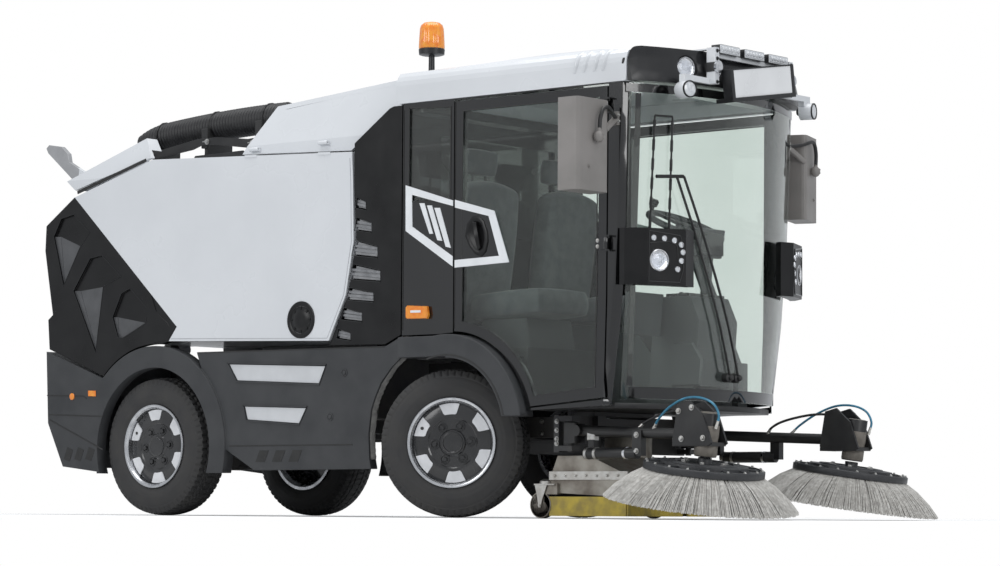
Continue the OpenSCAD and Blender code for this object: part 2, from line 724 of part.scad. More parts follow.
module broom_disc(left) color("#2b2c2e") tilted(left) {
    cylinder(r = disc_r, h = 26, $fn = 72);
    translate([0, 0, 25]) cylinder(r = disc_r * 0.72, h = 14, $fn = 72);
    translate([0, 0, 38]) cylinder(r = 30, h = 26);
}

module bristles(left) color("#a09c90") tilted(left)
    rotate_extrude($fn = 72) polygon([[disc_r - 95, -1], [disc_r - 4, -1], [disc_r + 60, -45],
        [bristle_r - 20, -128], [bristle_r - 2, -142], [bristle_r - 60, -142], [disc_r + 30, -120],
        [disc_r - 60, -60]]);

// ---------------------------------------------------------------- parts list

frame_rails();
front_axle();
rear_axle();
power_pack();
cab_floor();
cab_frame();
cab_roof();
roof_visor();
cab_glass();
dashboard();
steering_wheel();
seats();
mirrors();
headlamps();
roof_lamps();
sign_box();
beacon();
front_fenders();
side_skirts();
vent_panels();
rear_bumper();
suction_mouth();
knuckle(true);  // knuckle_left
knuckle(false);  // knuckle_right
rim(true, true);  // rim_front_left
rim(true, false);  // rim_front_right
rim(false, true);  // rim_rear_left
rim(false, false);  // rim_rear_right
tyre(true, true);  // tyre_front_left
tyre(true, false);  // tyre_front_right
tyre(false, true);  // tyre_rear_left
tyre(false, false);  // tyre_rear_right
door(true);  // door_left
door(false);  // door_right
door_glass(true);  // door_glass_left
door_glass(false);  // door_glass_right
hopper_bin();
rear_moulding();
rear_cover();
wander_hose();
top_cover();
rear_door();
broom_pivot(true);  // broom_pivot_left
broom_pivot(false);  // broom_pivot_right
broom_arm(true);  // broom_arm_left
broom_arm(false);  // broom_arm_right
broom_disc(true);  // broom_disc_left
broom_disc(false);  // broom_disc_right
bristles(true);  // bristles_left
bristles(false);  // bristles_right
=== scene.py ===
import math
import random

import bmesh
import bpy
from mathutils import Matrix, Vector


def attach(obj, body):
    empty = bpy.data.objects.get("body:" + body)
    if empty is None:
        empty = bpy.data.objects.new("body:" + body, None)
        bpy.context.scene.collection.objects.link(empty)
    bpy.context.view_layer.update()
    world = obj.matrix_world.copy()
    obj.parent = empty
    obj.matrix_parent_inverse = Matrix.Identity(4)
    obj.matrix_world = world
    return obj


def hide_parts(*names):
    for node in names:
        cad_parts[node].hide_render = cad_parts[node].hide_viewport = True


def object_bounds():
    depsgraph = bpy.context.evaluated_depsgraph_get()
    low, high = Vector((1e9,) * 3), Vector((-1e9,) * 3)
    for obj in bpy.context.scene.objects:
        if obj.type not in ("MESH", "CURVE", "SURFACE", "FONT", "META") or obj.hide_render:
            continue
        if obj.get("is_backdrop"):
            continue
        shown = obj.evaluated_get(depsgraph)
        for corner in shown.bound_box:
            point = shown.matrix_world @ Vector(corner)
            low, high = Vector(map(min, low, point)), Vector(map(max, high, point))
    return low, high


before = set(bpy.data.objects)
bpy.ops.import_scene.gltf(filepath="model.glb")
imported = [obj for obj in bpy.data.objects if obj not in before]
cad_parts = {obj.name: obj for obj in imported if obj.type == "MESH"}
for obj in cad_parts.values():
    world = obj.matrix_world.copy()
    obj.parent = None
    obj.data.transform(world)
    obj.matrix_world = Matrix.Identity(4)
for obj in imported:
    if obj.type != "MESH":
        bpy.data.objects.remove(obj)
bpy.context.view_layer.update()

scene = bpy.context.scene

# ---------------------------------------------------------------- studio
# The sweeper stands on a pale studio floor that fades out into a white backdrop.
# The camera lies at floor level, off the front right corner, with a long lens.
# One large soft lamp overhead and two soft side lamps light it evenly.

camera_at = Vector((9.80, -11.44, 0.044))
camera_turn, camera_pitch, camera_roll = 39.70, 3.06, 0.33
camera_data = bpy.data.cameras.new("camera")
camera_data.sensor_width = 36
camera_data.lens = 111.5
camera_data.shift_y = 0.06
camera_data.clip_end = 200
camera = bpy.data.objects.new("camera", camera_data)
camera.matrix_world = (
    Matrix.Translation(camera_at)
    @ Matrix.Rotation(math.radians(camera_turn), 4, "Z")
    @ Matrix.Rotation(math.radians(90 + camera_pitch), 4, "X")
    @ Matrix.Rotation(math.radians(camera_roll), 4, "Z")
)
scene.collection.objects.link(camera)
scene.camera = camera
scene.view_settings.view_transform = "Standard"

world = bpy.data.worlds.new("studio")
scene.world = world
world.use_nodes = True
sky = world.node_tree.nodes
sky_links = world.node_tree.links
sky.clear()
sky_out = sky.new("ShaderNodeOutputWorld")
sky_mix = sky.new("ShaderNodeMixShader")
sky_light = sky.new("ShaderNodeBackground")
sky_light.inputs["Color"].default_value = (0.93, 0.96, 1.0, 1)
sky_light.inputs["Strength"].default_value = 0.62
sky_seen = sky.new("ShaderNodeBackground")
sky_seen.inputs["Color"].default_value = (1, 1, 1, 1)
sky_path = sky.new("ShaderNodeLightPath")
sky_any = sky.new("ShaderNodeMath")
sky_any.operation = "MAXIMUM"
sky_links.new(sky_path.outputs["Is Camera Ray"], sky_any.inputs[0])
sky_links.new(sky_path.outputs["Is Transmission Ray"], sky_any.inputs[1])
sky_links.new(sky_any.outputs[0], sky_mix.inputs["Fac"])
sky_links.new(sky_light.outputs[0], sky_mix.inputs[1])
sky_links.new(sky_seen.outputs[0], sky_mix.inputs[2])
sky_links.new(sky_mix.outputs[0], sky_out.inputs["Surface"])


def studio_lamp(name, at, target, size, power):
    data = bpy.data.lights.new(name, "AREA")
    data.shape = "RECTANGLE"
    data.size, data.size_y = size
    data.energy = power
    lamp = bpy.data.objects.new(name, data)
    lamp.location = at
    lamp.rotation_mode = "QUATERNION"
    lamp.rotation_quaternion = (Vector(target) - Vector(at)).to_track_quat("-Z", "Y")
    scene.collection.objects.link(lamp)


studio_lamp("overhead", (0.5, -0.6, 7.5), (0, 0, 1), (7, 5), 330)
studio_lamp("side", (-1.5, -8.5, 4.2), (-0.2, 0, 1.0), (5, 3), 170)
studio_lamp("front", (8.5, -2.0, 3.6), (1.2, 0, 1.2), (3, 2.5), 120)

floor_mesh = bpy.data.meshes.new("floor")
floor_mesh.from_pydata(
    [(-60, -60, 0), (60, -60, 0), (60, 60, 0), (-60, 60, 0)], [], [(0, 1, 2, 3)]
)
floor = bpy.data.objects.new("floor", floor_mesh)
scene.collection.objects.link(floor)
floor_finish = bpy.data.materials.new("studio floor")
floor_finish.use_nodes = True
tree = floor_finish.node_tree
shader = tree.nodes["Principled BSDF"]
shader.inputs["Base Color"].default_value = (0.80, 0.80, 0.80, 1)
shader.inputs["Roughness"].default_value = 0.9
shader.inputs["Specular IOR Level"].default_value = 0.0
glow = tree.nodes.new("ShaderNodeEmission")
glow.inputs["Strength"].default_value = 0.20
add = tree.nodes.new("ShaderNodeAddShader")
seen = tree.nodes.new("ShaderNodeLightPath")
pick = tree.nodes.new("ShaderNodeMixShader")
tree.links.new(shader.outputs[0], add.inputs[0])
tree.links.new(glow.outputs[0], add.inputs[1])
tree.links.new(seen.outputs["Is Camera Ray"], pick.inputs["Fac"])
tree.links.new(shader.outputs[0], pick.inputs[1])
tree.links.new(add.outputs[0], pick.inputs[2])
spot = tree.nodes.new("ShaderNodeTexCoord")
reach = tree.nodes.new("ShaderNodeVectorMath")
reach.operation = "LENGTH"
fade = tree.nodes.new("ShaderNodeMapRange")
fade.interpolation_type = "SMOOTHSTEP"
fade.inputs["From Min"].default_value = 2.6
fade.inputs["From Max"].default_value = 4.6
gone = tree.nodes.new("ShaderNodeBsdfTransparent")
edge = tree.nodes.new("ShaderNodeMixShader")
tree.links.new(spot.outputs["Object"], reach.inputs[0])
tree.links.new(reach.outputs["Value"], fade.inputs["Value"])
tree.links.new(fade.outputs["Result"], edge.inputs["Fac"])
tree.links.new(pick.outputs[0], edge.inputs[1])
tree.links.new(gone.outputs[0], edge.inputs[2])
tree.links.new(edge.outputs[0], tree.nodes["Material Output"].inputs["Surface"])
floor_mesh.materials.append(floor_finish)
floor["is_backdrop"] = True

# ---------------------------------------------------------------- chassis
# Two welded box rails with cross members, both axles and the uprights of the
# tipping pins, all in satin black chassis paint with a film of road dust.
# The power pack between them is a painted casting under its covers.


def grain_group():
    """Patchy colour, patchy roughness and a fine grain, for paint, plastic and rubber."""
    group = bpy.data.node_groups.new("patch and grain", "ShaderNodeTree")
    side = group.interface
    for name, kind in (
        ("Colour", "NodeSocketColor"),
        ("Shade", "NodeSocketColor"),
        ("Roughness", "NodeSocketFloat"),
        ("Spread", "NodeSocketFloat"),
        ("Patch Scale", "NodeSocketFloat"),
        ("Grain Scale", "NodeSocketFloat"),
        ("Grain Height", "NodeSocketFloat"),
    ):
        side.new_socket(name=name, in_out="INPUT", socket_type=kind)
    side.new_socket(name="Colour", in_out="OUTPUT", socket_type="NodeSocketColor")
    side.new_socket(name="Roughness", in_out="OUTPUT", socket_type="NodeSocketFloat")
    side.new_socket(name="Height", in_out="OUTPUT", socket_type="NodeSocketFloat")
    make, join = group.nodes.new, group.links.new
    source, out = make("NodeGroupInput"), make("NodeGroupOutput")
    place = make("ShaderNodeTexCoord")
    patch, grain = make("ShaderNodeTexNoise"), make("ShaderNodeTexNoise")
    patch.inputs["Detail"].default_value = 4
    grain.inputs["Detail"].default_value = 2
    spread = make("ShaderNodeMapRange")
    spread.inputs["From Min"].default_value = 0.34
    spread.inputs["From Max"].default_value = 0.66
    mix = make("ShaderNodeMix")
    mix.data_type = "RGBA"
    rough, height = make("ShaderNodeMath"), make("ShaderNodeMath")
    rough.operation, height.operation = "MULTIPLY_ADD", "MULTIPLY"
    join(place.outputs["Object"], patch.inputs["Vector"])
    join(place.outputs["Object"], grain.inputs["Vector"])
    join(source.outputs["Patch Scale"], patch.inputs["Scale"])
    join(source.outputs["Grain Scale"], grain.inputs["Scale"])
    join(patch.outputs["Fac"], spread.inputs["Value"])
    join(spread.outputs["Result"], mix.inputs[0])
    join(source.outputs["Colour"], mix.inputs[6])
    join(source.outputs["Shade"], mix.inputs[7])
    join(spread.outputs["Result"], rough.inputs[0])
    join(source.outputs["Spread"], rough.inputs[1])
    join(source.outputs["Roughness"], rough.inputs[2])
    join(grain.outputs["Fac"], height.inputs[0])
    join(source.outputs["Grain Height"], height.inputs[1])
    join(mix.outputs[2], out.inputs["Colour"])
    join(rough.outputs[0], out.inputs["Roughness"])
    join(height.outputs[0], out.inputs["Height"])
    return group


patch_and_grain = grain_group()


def finish(name, colour, shade, rough, spread, patch, grain, height, **plain):
    """Paint, plastic or rubber with patches and grain; plain holds the shader's other sockets."""
    material = bpy.data.materials.new(name)
    material.use_nodes = True
    nodes, links = material.node_tree.nodes, material.node_tree.links
    shader = nodes["Principled BSDF"]
    group = nodes.new("ShaderNodeGroup")
    group.node_tree = patch_and_grain
    for socket, value in (
        ("Colour", (*colour, 1)),
        ("Shade", (*shade, 1)),
        ("Roughness", rough),
        ("Spread", spread),
        ("Patch Scale", patch),
        ("Grain Scale", grain),
        ("Grain Height", height),
    ):
        group.inputs[socket].default_value = value
    bump = nodes.new("ShaderNodeBump")
    bump.inputs["Distance"].default_value = 1.0
    links.new(group.outputs["Colour"], shader.inputs["Base Color"])
    links.new(group.outputs["Roughness"], shader.inputs["Roughness"])
    links.new(group.outputs["Height"], bump.inputs["Height"])
    links.new(bump.outputs["Normal"], shader.inputs["Normal"])
    for socket, value in plain.items():
        shader.inputs[socket.replace("_", " ")].default_value = value
    return material


def cover(node, material, edge=0.0):
    """Gives a CAD node its finish and, if edge is given, slightly rounded edges."""
    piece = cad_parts[node]
    piece.data.materials.clear()
    piece.data.materials.append(material)
    if edge:
        weld = piece.modifiers.new("weld", "WELD")
        weld.merge_threshold = 0.0002
        rounded = piece.modifiers.new("edge", "BEVEL")
        rounded.width = edge
        rounded.segments = 2
        rounded.limit_method = "ANGLE"
        rounded.angle_limit = math.radians(28)
        rounded.harden_normals = True
    return piece


def piece_from(bm, name, material, body, crease=35):
    """Turns a mesh made in the shared frame into a piece that rides on a body."""
    bmesh.ops.remove_doubles(bm, verts=bm.verts, dist=0.00002)
    bmesh.ops.recalc_face_normals(bm, faces=bm.faces)
    for face in bm.faces:
        face.smooth = True
    for edge in bm.edges:
        edge.smooth = len(edge.link_faces) == 2 and edge.calc_face_angle(
            0
        ) < math.radians(crease)
    mesh = bpy.data.meshes.new(name)
    bm.to_mesh(mesh)
    bm.free()
    mesh.materials.append(material)
    piece = bpy.data.objects.new(name, mesh)
    scene.collection.objects.link(piece)
    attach(piece, body)
    return piece


def slab(bm, outline, near, far, chamfer=0.0):
    """Adds a plate: an outline in X and Z between two values of Y, with its edges taken off."""
    centre = Vector(
        (sum(p[0] for p in outline), 0, sum(p[1] for p in outline))
    ) / len(outline)
    rows = [(near, 0.0), (far, 0.0)]
    if chamfer:
        step = chamfer if far > near else -chamfer
        rows = [(near, chamfer), (near + step, 0.0), (far - step, 0.0), (far, chamfer)]
    rings = []
    for y, inset in rows:
        ring = []
        for x, z in outline:
            away = Vector((x, 0, z)) - centre
            shrink = away.normalized() * inset if away.length > inset else away * 0
            ring.append(bm.verts.new((x - shrink.x, y, z - shrink.z)))
        rings.append(ring)
    corners = len(outline)
    for a, b in zip(rings, rings[1:]):
        for i in range(corners):
            after = (i + 1) % corners
            bm.faces.new((a[i], a[after], b[after], b[i]))
    bm.faces.new(rings[0])
    bm.faces.new(list(reversed(rings[-1])))


def brick(bm, low, high, chamfer=0.003):
    """Adds a machined block from its lowest to its highest corner."""
    slab(
        bm,
        [(low[0], low[2]), (high[0], low[2]), (high[0], high[2]), (low[0], high[2])],
        low[1],
        high[1],
        chamfer,
    )


def turned(bm, profile, at, axis, sides=32):
    """Adds a turned part: profile rows are (distance along the axis, radius)."""
    axis = Vector(axis).normalized()
    across = axis.orthogonal().normalized()
    other = axis.cross(across)
    rings = []
    for along, radius in profile:
        middle = Vector(at) + axis * along
        if radius < 1e-6:
            rings.append([bm.verts.new(middle)])
            continue
        rings.append(
            [
                bm.verts.new(
                    middle
                    + across * (radius * math.cos(math.tau * i / sides))
                    + other * (radius * math.sin(math.tau * i / sides))
                )
                for i in range(sides)
            ]
        )
    for a, b in zip(rings, rings[1:]):
        for i in range(sides):
            j = (i + 1) % sides
            corners = [a[i % len(a)], a[j % len(a)], b[j % len(b)], b[i % len(b)]]
            face = [v for k, v in enumerate(corners) if v not in corners[:k]]
            if len(face) > 2:
                bm.faces.new(face)
    for ring in (rings[0], rings[-1]):
        if len(ring) > 1:
            bm.faces.new(ring)


def rod(bm, start, end, radius, sides=20):
    """Adds a round bar between two points, with its ends chamfered."""
    start, end = Vector(start), Vector(end)
    length = (end - start).length
    lip = min(radius * 0.12, length * 0.2)
    turned(
        bm,
        [(0, radius - lip), (lip, radius), (length - lip, radius), (length, radius - lip)],
        start,
        end - start,
        sides,
    )


def bolt(bm, at, axis, size=0.007):
    """Adds a hexagon head on a washer."""
    turned(bm, [(0, size * 1.5), (size * 0.25, size * 1.5)], at, axis, 16)
    turned(
        bm,
        [(0, size), (size * 0.85, size), (size * 1.05, size * 0.8)],
        Vector(at) + Vector(axis).normalized() * size * 0.25,
        axis,
        6,
    )


def mirrored(bm):
    """A copy of a right-hand mesh for the left side."""
    copy = bm.copy()
    bmesh.ops.scale(copy, vec=(1, -1, 1), verts=copy.verts)
    return copy


def pair_from(bm, name, material, bodies, crease=35):
    """Makes the right-hand piece and its mirrored partner; bodies are (right, left)."""
    left = mirrored(bm)
    return (
        piece_from(bm, name + "_right", material, bodies[0], crease),
        piece_from(left, name + "_left", material, bodies[1], crease),
    )


both_chassis = ("chassis", "chassis")
chassis_paint = finish(
    "chassis paint", (0.028, 0.028, 0.03), (0.06, 0.057, 0.052), 0.42, 0.2, 5, 300, 0.0002
)
casting_paint = finish(
    "engine casting", (0.09, 0.09, 0.095), (0.16, 0.155, 0.15), 0.5, 0.2, 7, 160, 0.0006
)
steel_bolt = finish(
    "zinc bolt", (
        0.55, 0.55, 0.54
    ), (0.40, 0.39, 0.37), 0.3, 0.15, 60, 500, 0.0001, Metallic=1.0
)
for node in ("frame_rails", "front_axle", "rear_axle", "knuckle_left", "knuckle_right"):
    cover(node, chassis_paint, 0.003)
cover("power_pack", casting_paint, 0.01)

rail_bolts = bmesh.new()
for x in (-1.95, -1.6, -1.2, -0.67, -0.3, 0.05, 0.4, 0.75, 1.0):
    for z in (0.395, 0.45):
        bolt(rail_bolts, (x, -0.2301, z), (0, -1, 0), 0.008)
for z in (0.34, 0.36, 0.40, 0.44):
    bolt(rail_bolts, (1.0385, -0.4802, z), (0, -1, 0), 0.008)
pair_from(rail_bolts, "rail_bolts", steel_bolt, both_chassis)

# ---------------------------------------------------------------- wheels
# Steel wheels with a black face: six pale machined pads stand near the edge, six
# nuts sit in round wells, and the rim flange is a thin bright ring.
# The tyres are radials with four ribs of blocks and a stepped shoulder.

axle_height = 0.345
tyre_radius = 0.345
front_axle_x, rear_axle_x = 0.436, -1.410
kingpin_y, wheel_off = 0.445, 0.100
steer_rest = math.radians(28)
wheels = {
    "front_right": (True, False),
    "front_left": (True, True),
    "rear_right": (False, False),
    "rear_left": (False, True),
}


def wheel_place(front, left):
    """Where a wheel made about the origin, outer face towards -Y, stands on the sweeper."""
    side = Matrix.Scale(-1, 4, (0, 1, 0)) if left else Matrix.Identity(4)
    if not front:
        return side @ Matrix.Translation((rear_axle_x, -0.545, axle_height))
    turn = -steer_rest if left else steer_rest
    return (
        side
        @ Matrix.Translation((front_axle_x, -kingpin_y, axle_height))
        @ Matrix.Rotation(turn, 4, "Z")
        @ Matrix.Translation((0, -wheel_off, 0))
    )


def placed(bm, matrix):
    copy = bm.copy()
    bmesh.ops.transform(copy, matrix=matrix, verts=copy.verts)
    return copy


def wheel_point(radius, angle, out):
    return Vector((radius * math.cos(angle), -out, radius * math.sin(angle)))


rim_black = finish(
    "wheel black", (0.010, 0.010, 0.011), (0.022, 0.022, 0.023), 0.16, 0.1, 8, 300, 0.0001,
    Coat_Weight=0.5, Coat_Roughness=0.08,
)
rim_silver = finish(
    "machined wheel edge", (0.62, 0.63, 0.65), (0.48, 0.49, 0.51), 0.22, 0.1, 30, 900, 0.00005,
    Metallic=1.0,
)
pad_white = finish(
    "pale wheel pad", (0.74, 0.75, 0.77), (0.62, 0.63, 0.65), 0.3, 0.1, 14, 500, 0.0001,
    Coat_Weight=0.3,
)

rim_dish = bmesh.new()
turned(
    rim_dish,
    [
        (0.034, 0.0225), (0.072, 0.0225), (0.0745, 0.030), (0.074, 0.058), (0.068, 0.064),
        (0.066, 0.112), (0.070, 0.118), (0.0695, 0.176), (0.064, 0.186), (0.044, 0.187),
        (0.040, 0.060),
    ],
    (0, 0, 0),
    (0, -1, 0),
    72,
)
rim_ring = bmesh.new()
turned(
    rim_ring,
    [
        (0.060, 0.1865), (0.088, 0.1895), (0.096, 0.196), (0.0985, 0.203), (0.0985, 0.2075),
        (0.094, 0.2098), (0.088, 0.2095), (0.076, 0.1925), (-0.084, 0.1915), (-0.090, 0.2095),
        (-0.100, 0.2095), (-0.100, 0.1945), (-0.08, 0.178), (0.02, 0.176), (0.060, 0.1865),
    ],
    (0, 0, 0),
    (0, -1, 0),
    72,
)
rim_pads = bmesh.new()
for i in range(6):
    middle = math.radians(60 * i + 35)
    inner, outer, low, high = 0.132, 0.1835, 0.0, 0.0742
    rows = []
    for radius, half in (
        (inner, 0.185), (inner + 0.008, 0.225), (outer - 0.004, 0.262), (outer, 0.262)
    ):
        rows.append(
            [
                wheel_point(radius, middle + half * s / 4, high)
                for s in range(-4, 5)
            ]
        )
    top = [[rim_pads.verts.new(p) for p in row] for row in rows]
    skirt = [[rim_pads.verts.new(p + Vector((0, 0.008, 0)) * 1.0) for p in row] for row in rows]
    for a, b in zip(top, top[1:]):
        for j in range(8):
            rim_pads.faces.new((a[j], a[j + 1], b[j + 1], b[j]))
    edge_top = top[0] + [r[-1] for r in top[1:-1]] + top[-1][::-1] + [
        r[0]
        for r in top[-2:0:-1]
    ]
    edge_low = (
        skirt[0] + [r[-1] for r in skirt[1:-1]] + skirt[-1][::-1] + [
            r[0]
            for r in skirt[-2:0:-1]
        ]
    )
    for j in range(len(edge_top)):
        k = (j + 1) % len(edge_top)
        rim_pads.faces.new((edge_top[j], edge_top[k], edge_low[k], edge_low[j]))
    for row in skirt[1:-1]:
        for v in row[1:-1]:
            rim_pads.verts.remove(v)
rim_nuts = bmesh.new()
rim_wells = bmesh.new()
for i in range(6):
    angle = math.radians(60 * i + 5)
    seat = wheel_point(0.084, angle, 0.066)
    turned(
        rim_wells, [(0.0, 0.024), (0.0045, 0.022), (0.0045, 0.018), (-0.001, 0.0155)], seat,
        (0, -1, 0), 28
    )
    turned(
        rim_nuts,
        [(0.0, 0.0125), (0.010, 0.0125), (0.013, 0.010), (0.013, 0.004)],
        seat,
        (0, -1, 0),
        6,
    )
turned(
    rim_wells,
    [(0.0735, 0.052), (0.078, 0.050), (0.079, 0.044), (0.0765, 0.041), (0.0765, 0.0)],
    (0, 0, 0),
    (0, -1, 0),
    48,
)
valve = bmesh.new()
rod(
    valve, wheel_point(0.158, math.radians(155), 0.070),
    wheel_point(0.158, math.radians(155), 0.0775), 0.0075, 16
)

tyre_rubber = finish(
    "tyre rubber", (0.022, 0.022, 0.023), (0.040, 0.039, 0.038), 0.62, 0.2, 12, 420, 0.0004
)
tyre_profile = [
    (-0.0865, 0.211), (-0.0905, 0.2113), (-0.0985, 0.228), (-0.1015, 0.243), (-0.1012, 0.247),
    (-0.1022, 0.250), (-0.1022, 0.262), (-0.1010, 0.268), (-0.1002, 0.285), (-0.0965, 0.300),
    (-0.0955, 0.302), (-0.0955, 0.308), (-0.0925, 0.316), (-0.0885, 0.326), (-0.0845, 0.333),
]
tread_rows = [
    -0.0810, -0.0760, -0.0720, -0.0660, -0.0560, -0.0520, -0.0480, -0.0400, -0.0280, -0.0240,
    -0.0200, -0.0120, -0.0040, 0.0040, 0.0120, 0.0200, 0.0240, 0.0280, 0.0400, 0.0480, 0.0520,
    0.0560, 0.0660, 0.0720, 0.0760, 0.0810,
]
tread_grooves = (-0.052, -0.024, 0.024, 0.052)
pitches, steps = 62, 4


def tread_depth(y, turn):
    """How far the tread lies below its outer face, at a place across and round the tyre."""
    for groove in tread_grooves:
        if abs(y - groove) < 0.0025:
            return 0.0075
    band = sum(y > g for g in tread_grooves)
    lean = (0.9, 1.6, -1.2, 1.6, 0.9)[band] * (y / 0.1) * (1 if y > 0 else -1)
    phase = (turn * pitches + lean + band * 0.37) % 1.0
    return 0.006 if phase < (0.26 if band in (0, 4) else 0.2) else 0.0


def tyre_mesh(sides):
    bm = bmesh.new()
    rows = [(y, r, None) for y, r in tyre_profile]
    for y in tread_rows:
        crown = tyre_radius - 0.0012 - 0.009 * (abs(y) / 0.081) ** 3
        rows.append((y, crown, y))
    rows += [(-y, r, None) for y, r in reversed(tyre_profile)]
    rows += [(0.074, 0.1955), (-0.080, 0.1955)]
    rings = []
    for row in rows:
        y, r = row[0], row[1]
        ring = []
        for i in range(sides):
            turn = i / sides
            radius, out = r, y
            if len(row) == 3 and row[2] is not None:
                radius -= tread_depth(y, turn)
            elif 0.315 < r < 0.334 and (turn * pitches) % 1.0 < 0.25:
                radius -= 0.003
                out -= math.copysign(0.003, y)
            ring.append(
                bm.verts.new(
                    (
                        radius * math.cos(math.tau * turn), out,
                        radius * math.sin(math.tau * turn)
                    )
                )
            )
        rings.append(ring)
    for k, a in enumerate(rings):
        b = rings[(k + 1) % len(rings)]
        for i in range(sides):
            j = (i + 1) % sides
            bm.faces.new((a[i], a[j], b[j], b[i]))
    return bm


tyre_bm = tyre_mesh(pitches * steps)
for wheel, (front, left) in wheels.items():
    place = wheel_place(front, left)
    body = "wheel_" + wheel
    dish = piece_from(
        placed(rim_dish, place), "wheel_dish_" + wheel, rim_black, body, 30
    )
    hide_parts("rim_" + wheel)
    piece_from(
        placed(rim_ring, place), "wheel_ring_" + wheel, rim_silver, body, 30
    )
    piece_from(placed(rim_pads, place), "wheel_pads_" + wheel, pad_white, body, 30)
    piece_from(
        placed(rim_wells, place), "wheel_wells_" + wheel, rim_black, body, 30
    )
    piece_from(placed(rim_nuts, place), "wheel_nuts_" + wheel, rim_black, body, 30)
    piece_from(
        placed(valve, place), "wheel_valve_" + wheel, tyre_rubber, body, 30
    )
    tyre = piece_from(
        placed(tyre_bm, place), "radial_tyre_" + wheel, tyre_rubber, body, 24
    )
    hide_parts("tyre_" + wheel)

# ---------------------------------------------------------------- suction gear
# The suction mouth is a box of worn, bare steel plate between the front wheels.
# It rolls on two casters in pressed forks, with a punched strip and a yellow
# rubber skirt along its lower edge.

worn_steel = finish(
    "worn steel plate", (0.36, 0.34, 0.30), (
        0.20, 0.175, 0.15
    ), 0.38, 0.3, 9, 120, 0.0008, Metallic=0.7
)
fork_zinc = finish(
    "zinc plated fork", (
        0.62, 0.61, 0.58
    ), (0.45, 0.43, 0.40), 0.3, 0.2, 24, 300, 0.0003, Metallic=0.9
)
skirt_yellow = finish(
    "yellow rubber skirt", (0.55, 0.42, 0.06), (0.33, 0.26, 0.08), 0.6, 0.2, 18, 200, 0.0006
)
cover("suction_mouth", worn_steel, 0.003)
mouth_strip = bmesh.new()
brick(mouth_strip, (0.955, -0.432, 0.176), (1.405, -0.4262, 0.214), 0.001)
brick(mouth_strip, (1.398, -0.40, 0.19), (1.404, -0.28, 0.208), 0.001)
for x in (0.99, 1.05, 1.11, 1.17, 1.23, 1.29, 1.35):
    bolt(mouth_strip, (x, -0.432, 0.195), (0, -1, 0), 0.006)
pair_from(mouth_strip, "mouth_strip", fork_zinc, both_chassis)
fork = bmesh.new()
brick(fork, (0.880, -0.450, 0.152), (1.000, -0.392, 0.158), 0.002)
slab(
    fork,
    [(0.885, 0.152), (0.955, 0.152), (0.93, 0.09), (0.918, 0.05), (0.906, 0.05), (0.90, 0.09)],
    -0.448, -0.4440, 0.001
)
slab(
    fork,
    [(0.885, 0.152), (0.955, 0.152), (0.93, 0.09), (0.918, 0.05), (0.906, 0.05), (0.90, 0.09)],
    -0.4005, -0.3965, 0.001
)
rod(fork, (0.912, -0.4515, 0.062), (0.912, -0.393, 0.062), 0.007)
turned(
    fork, [(0, 0.03), (0.012, 0.03), (0.018, 0.02), (0.022, 0.012)], (0.93, -0.42, 0.158),
    (0, 0, 1), 24
)
pair_from(fork, "caster_fork", fork_zinc, both_chassis)
caster_tread = bmesh.new()
turned(
    caster_tread,
    [(0, 0.045), (0, 0.056), (0.006, 0.0612), (0.030, 0.0612), (0.036, 0.056), (0.036, 0.045)],
    (0.912, -0.440, 0.062), (0, 1, 0), 40
)
pair_from(caster_tread, "caster_tread", tyre_rubber, both_chassis)
mouth_skirt = bmesh.new()
brick(mouth_skirt, (0.96, -0.436, 0.012), (1.40, -0.4275, 0.100), 0.001)
brick(mouth_skirt, (1.40, -0.43, 0.012), (1.408, -0.02, 0.098), 0.001)
pair_from(mouth_skirt, "mouth_skirt", skirt_yellow, both_chassis)

# ---------------------------------------------------------------- cab inside
# A flat deck of black plate carries two woven seats on plastic pedestals.
# The dash, console, screen and steering wheel are grained dark mouldings,
# and the seat cushions are moulded foam in a stitched cover.

black_powder = finish(
    "black powder coat", (
        0.010, 0.010, 0.011
    ), (0.022, 0.022, 0.022), 0.38, 0.15, 9, 400, 0.00004
)
inside_plastic = finish(
    "grained inside plastic", (
        0.040, 0.042, 0.045
    ), (0.058, 0.060, 0.063), 0.5, 0.15, 9, 300, 0.00003
)
cover("cab_floor", black_powder, 0.002)
cover("dashboard", inside_plastic, 0.012)
cover("steering_wheel", inside_plastic)


def weave_finish(name, colour, shade):
    """Seat cloth: two crossed bands of yarn over a patchy colour."""
    material = finish(name, colour, shade, 0.85, 0.1, 20, 900, 0.0002)
    nodes, links = material.node_tree.nodes, material.node_tree.links
    place = nodes.new("ShaderNodeTexCoord")
    bands = []
    for direction in ("X", "Z"):
        wave = nodes.new("ShaderNodeTexWave")
        wave.bands_direction = direction
        wave.inputs["Scale"].default_value = 90
        links.new(place.outputs["Object"], wave.inputs["Vector"])
        bands.append(wave)
    product, low = nodes.new("ShaderNodeMath"), nodes.new("ShaderNodeMath")
    product.operation = low.operation = "MULTIPLY"
    low.inputs[1].default_value = 0.00012
    links.new(bands[0].outputs["Fac"], product.inputs[0])
    links.new(bands[1].outputs["Fac"], product.inputs[1])
    links.new(product.outputs[0], low.inputs[0])
    bump = next(n for n in nodes if n.type == "BUMP")
    links.new(low.outputs[0], bump.inputs["Height"])
    nodes["Principled BSDF"].inputs["Sheen Weight"].default_value = 0.3
    return material


seat_cloth = weave_finish("seat cloth", (0.075, 0.078, 0.086), (0.12, 0.123, 0.132))


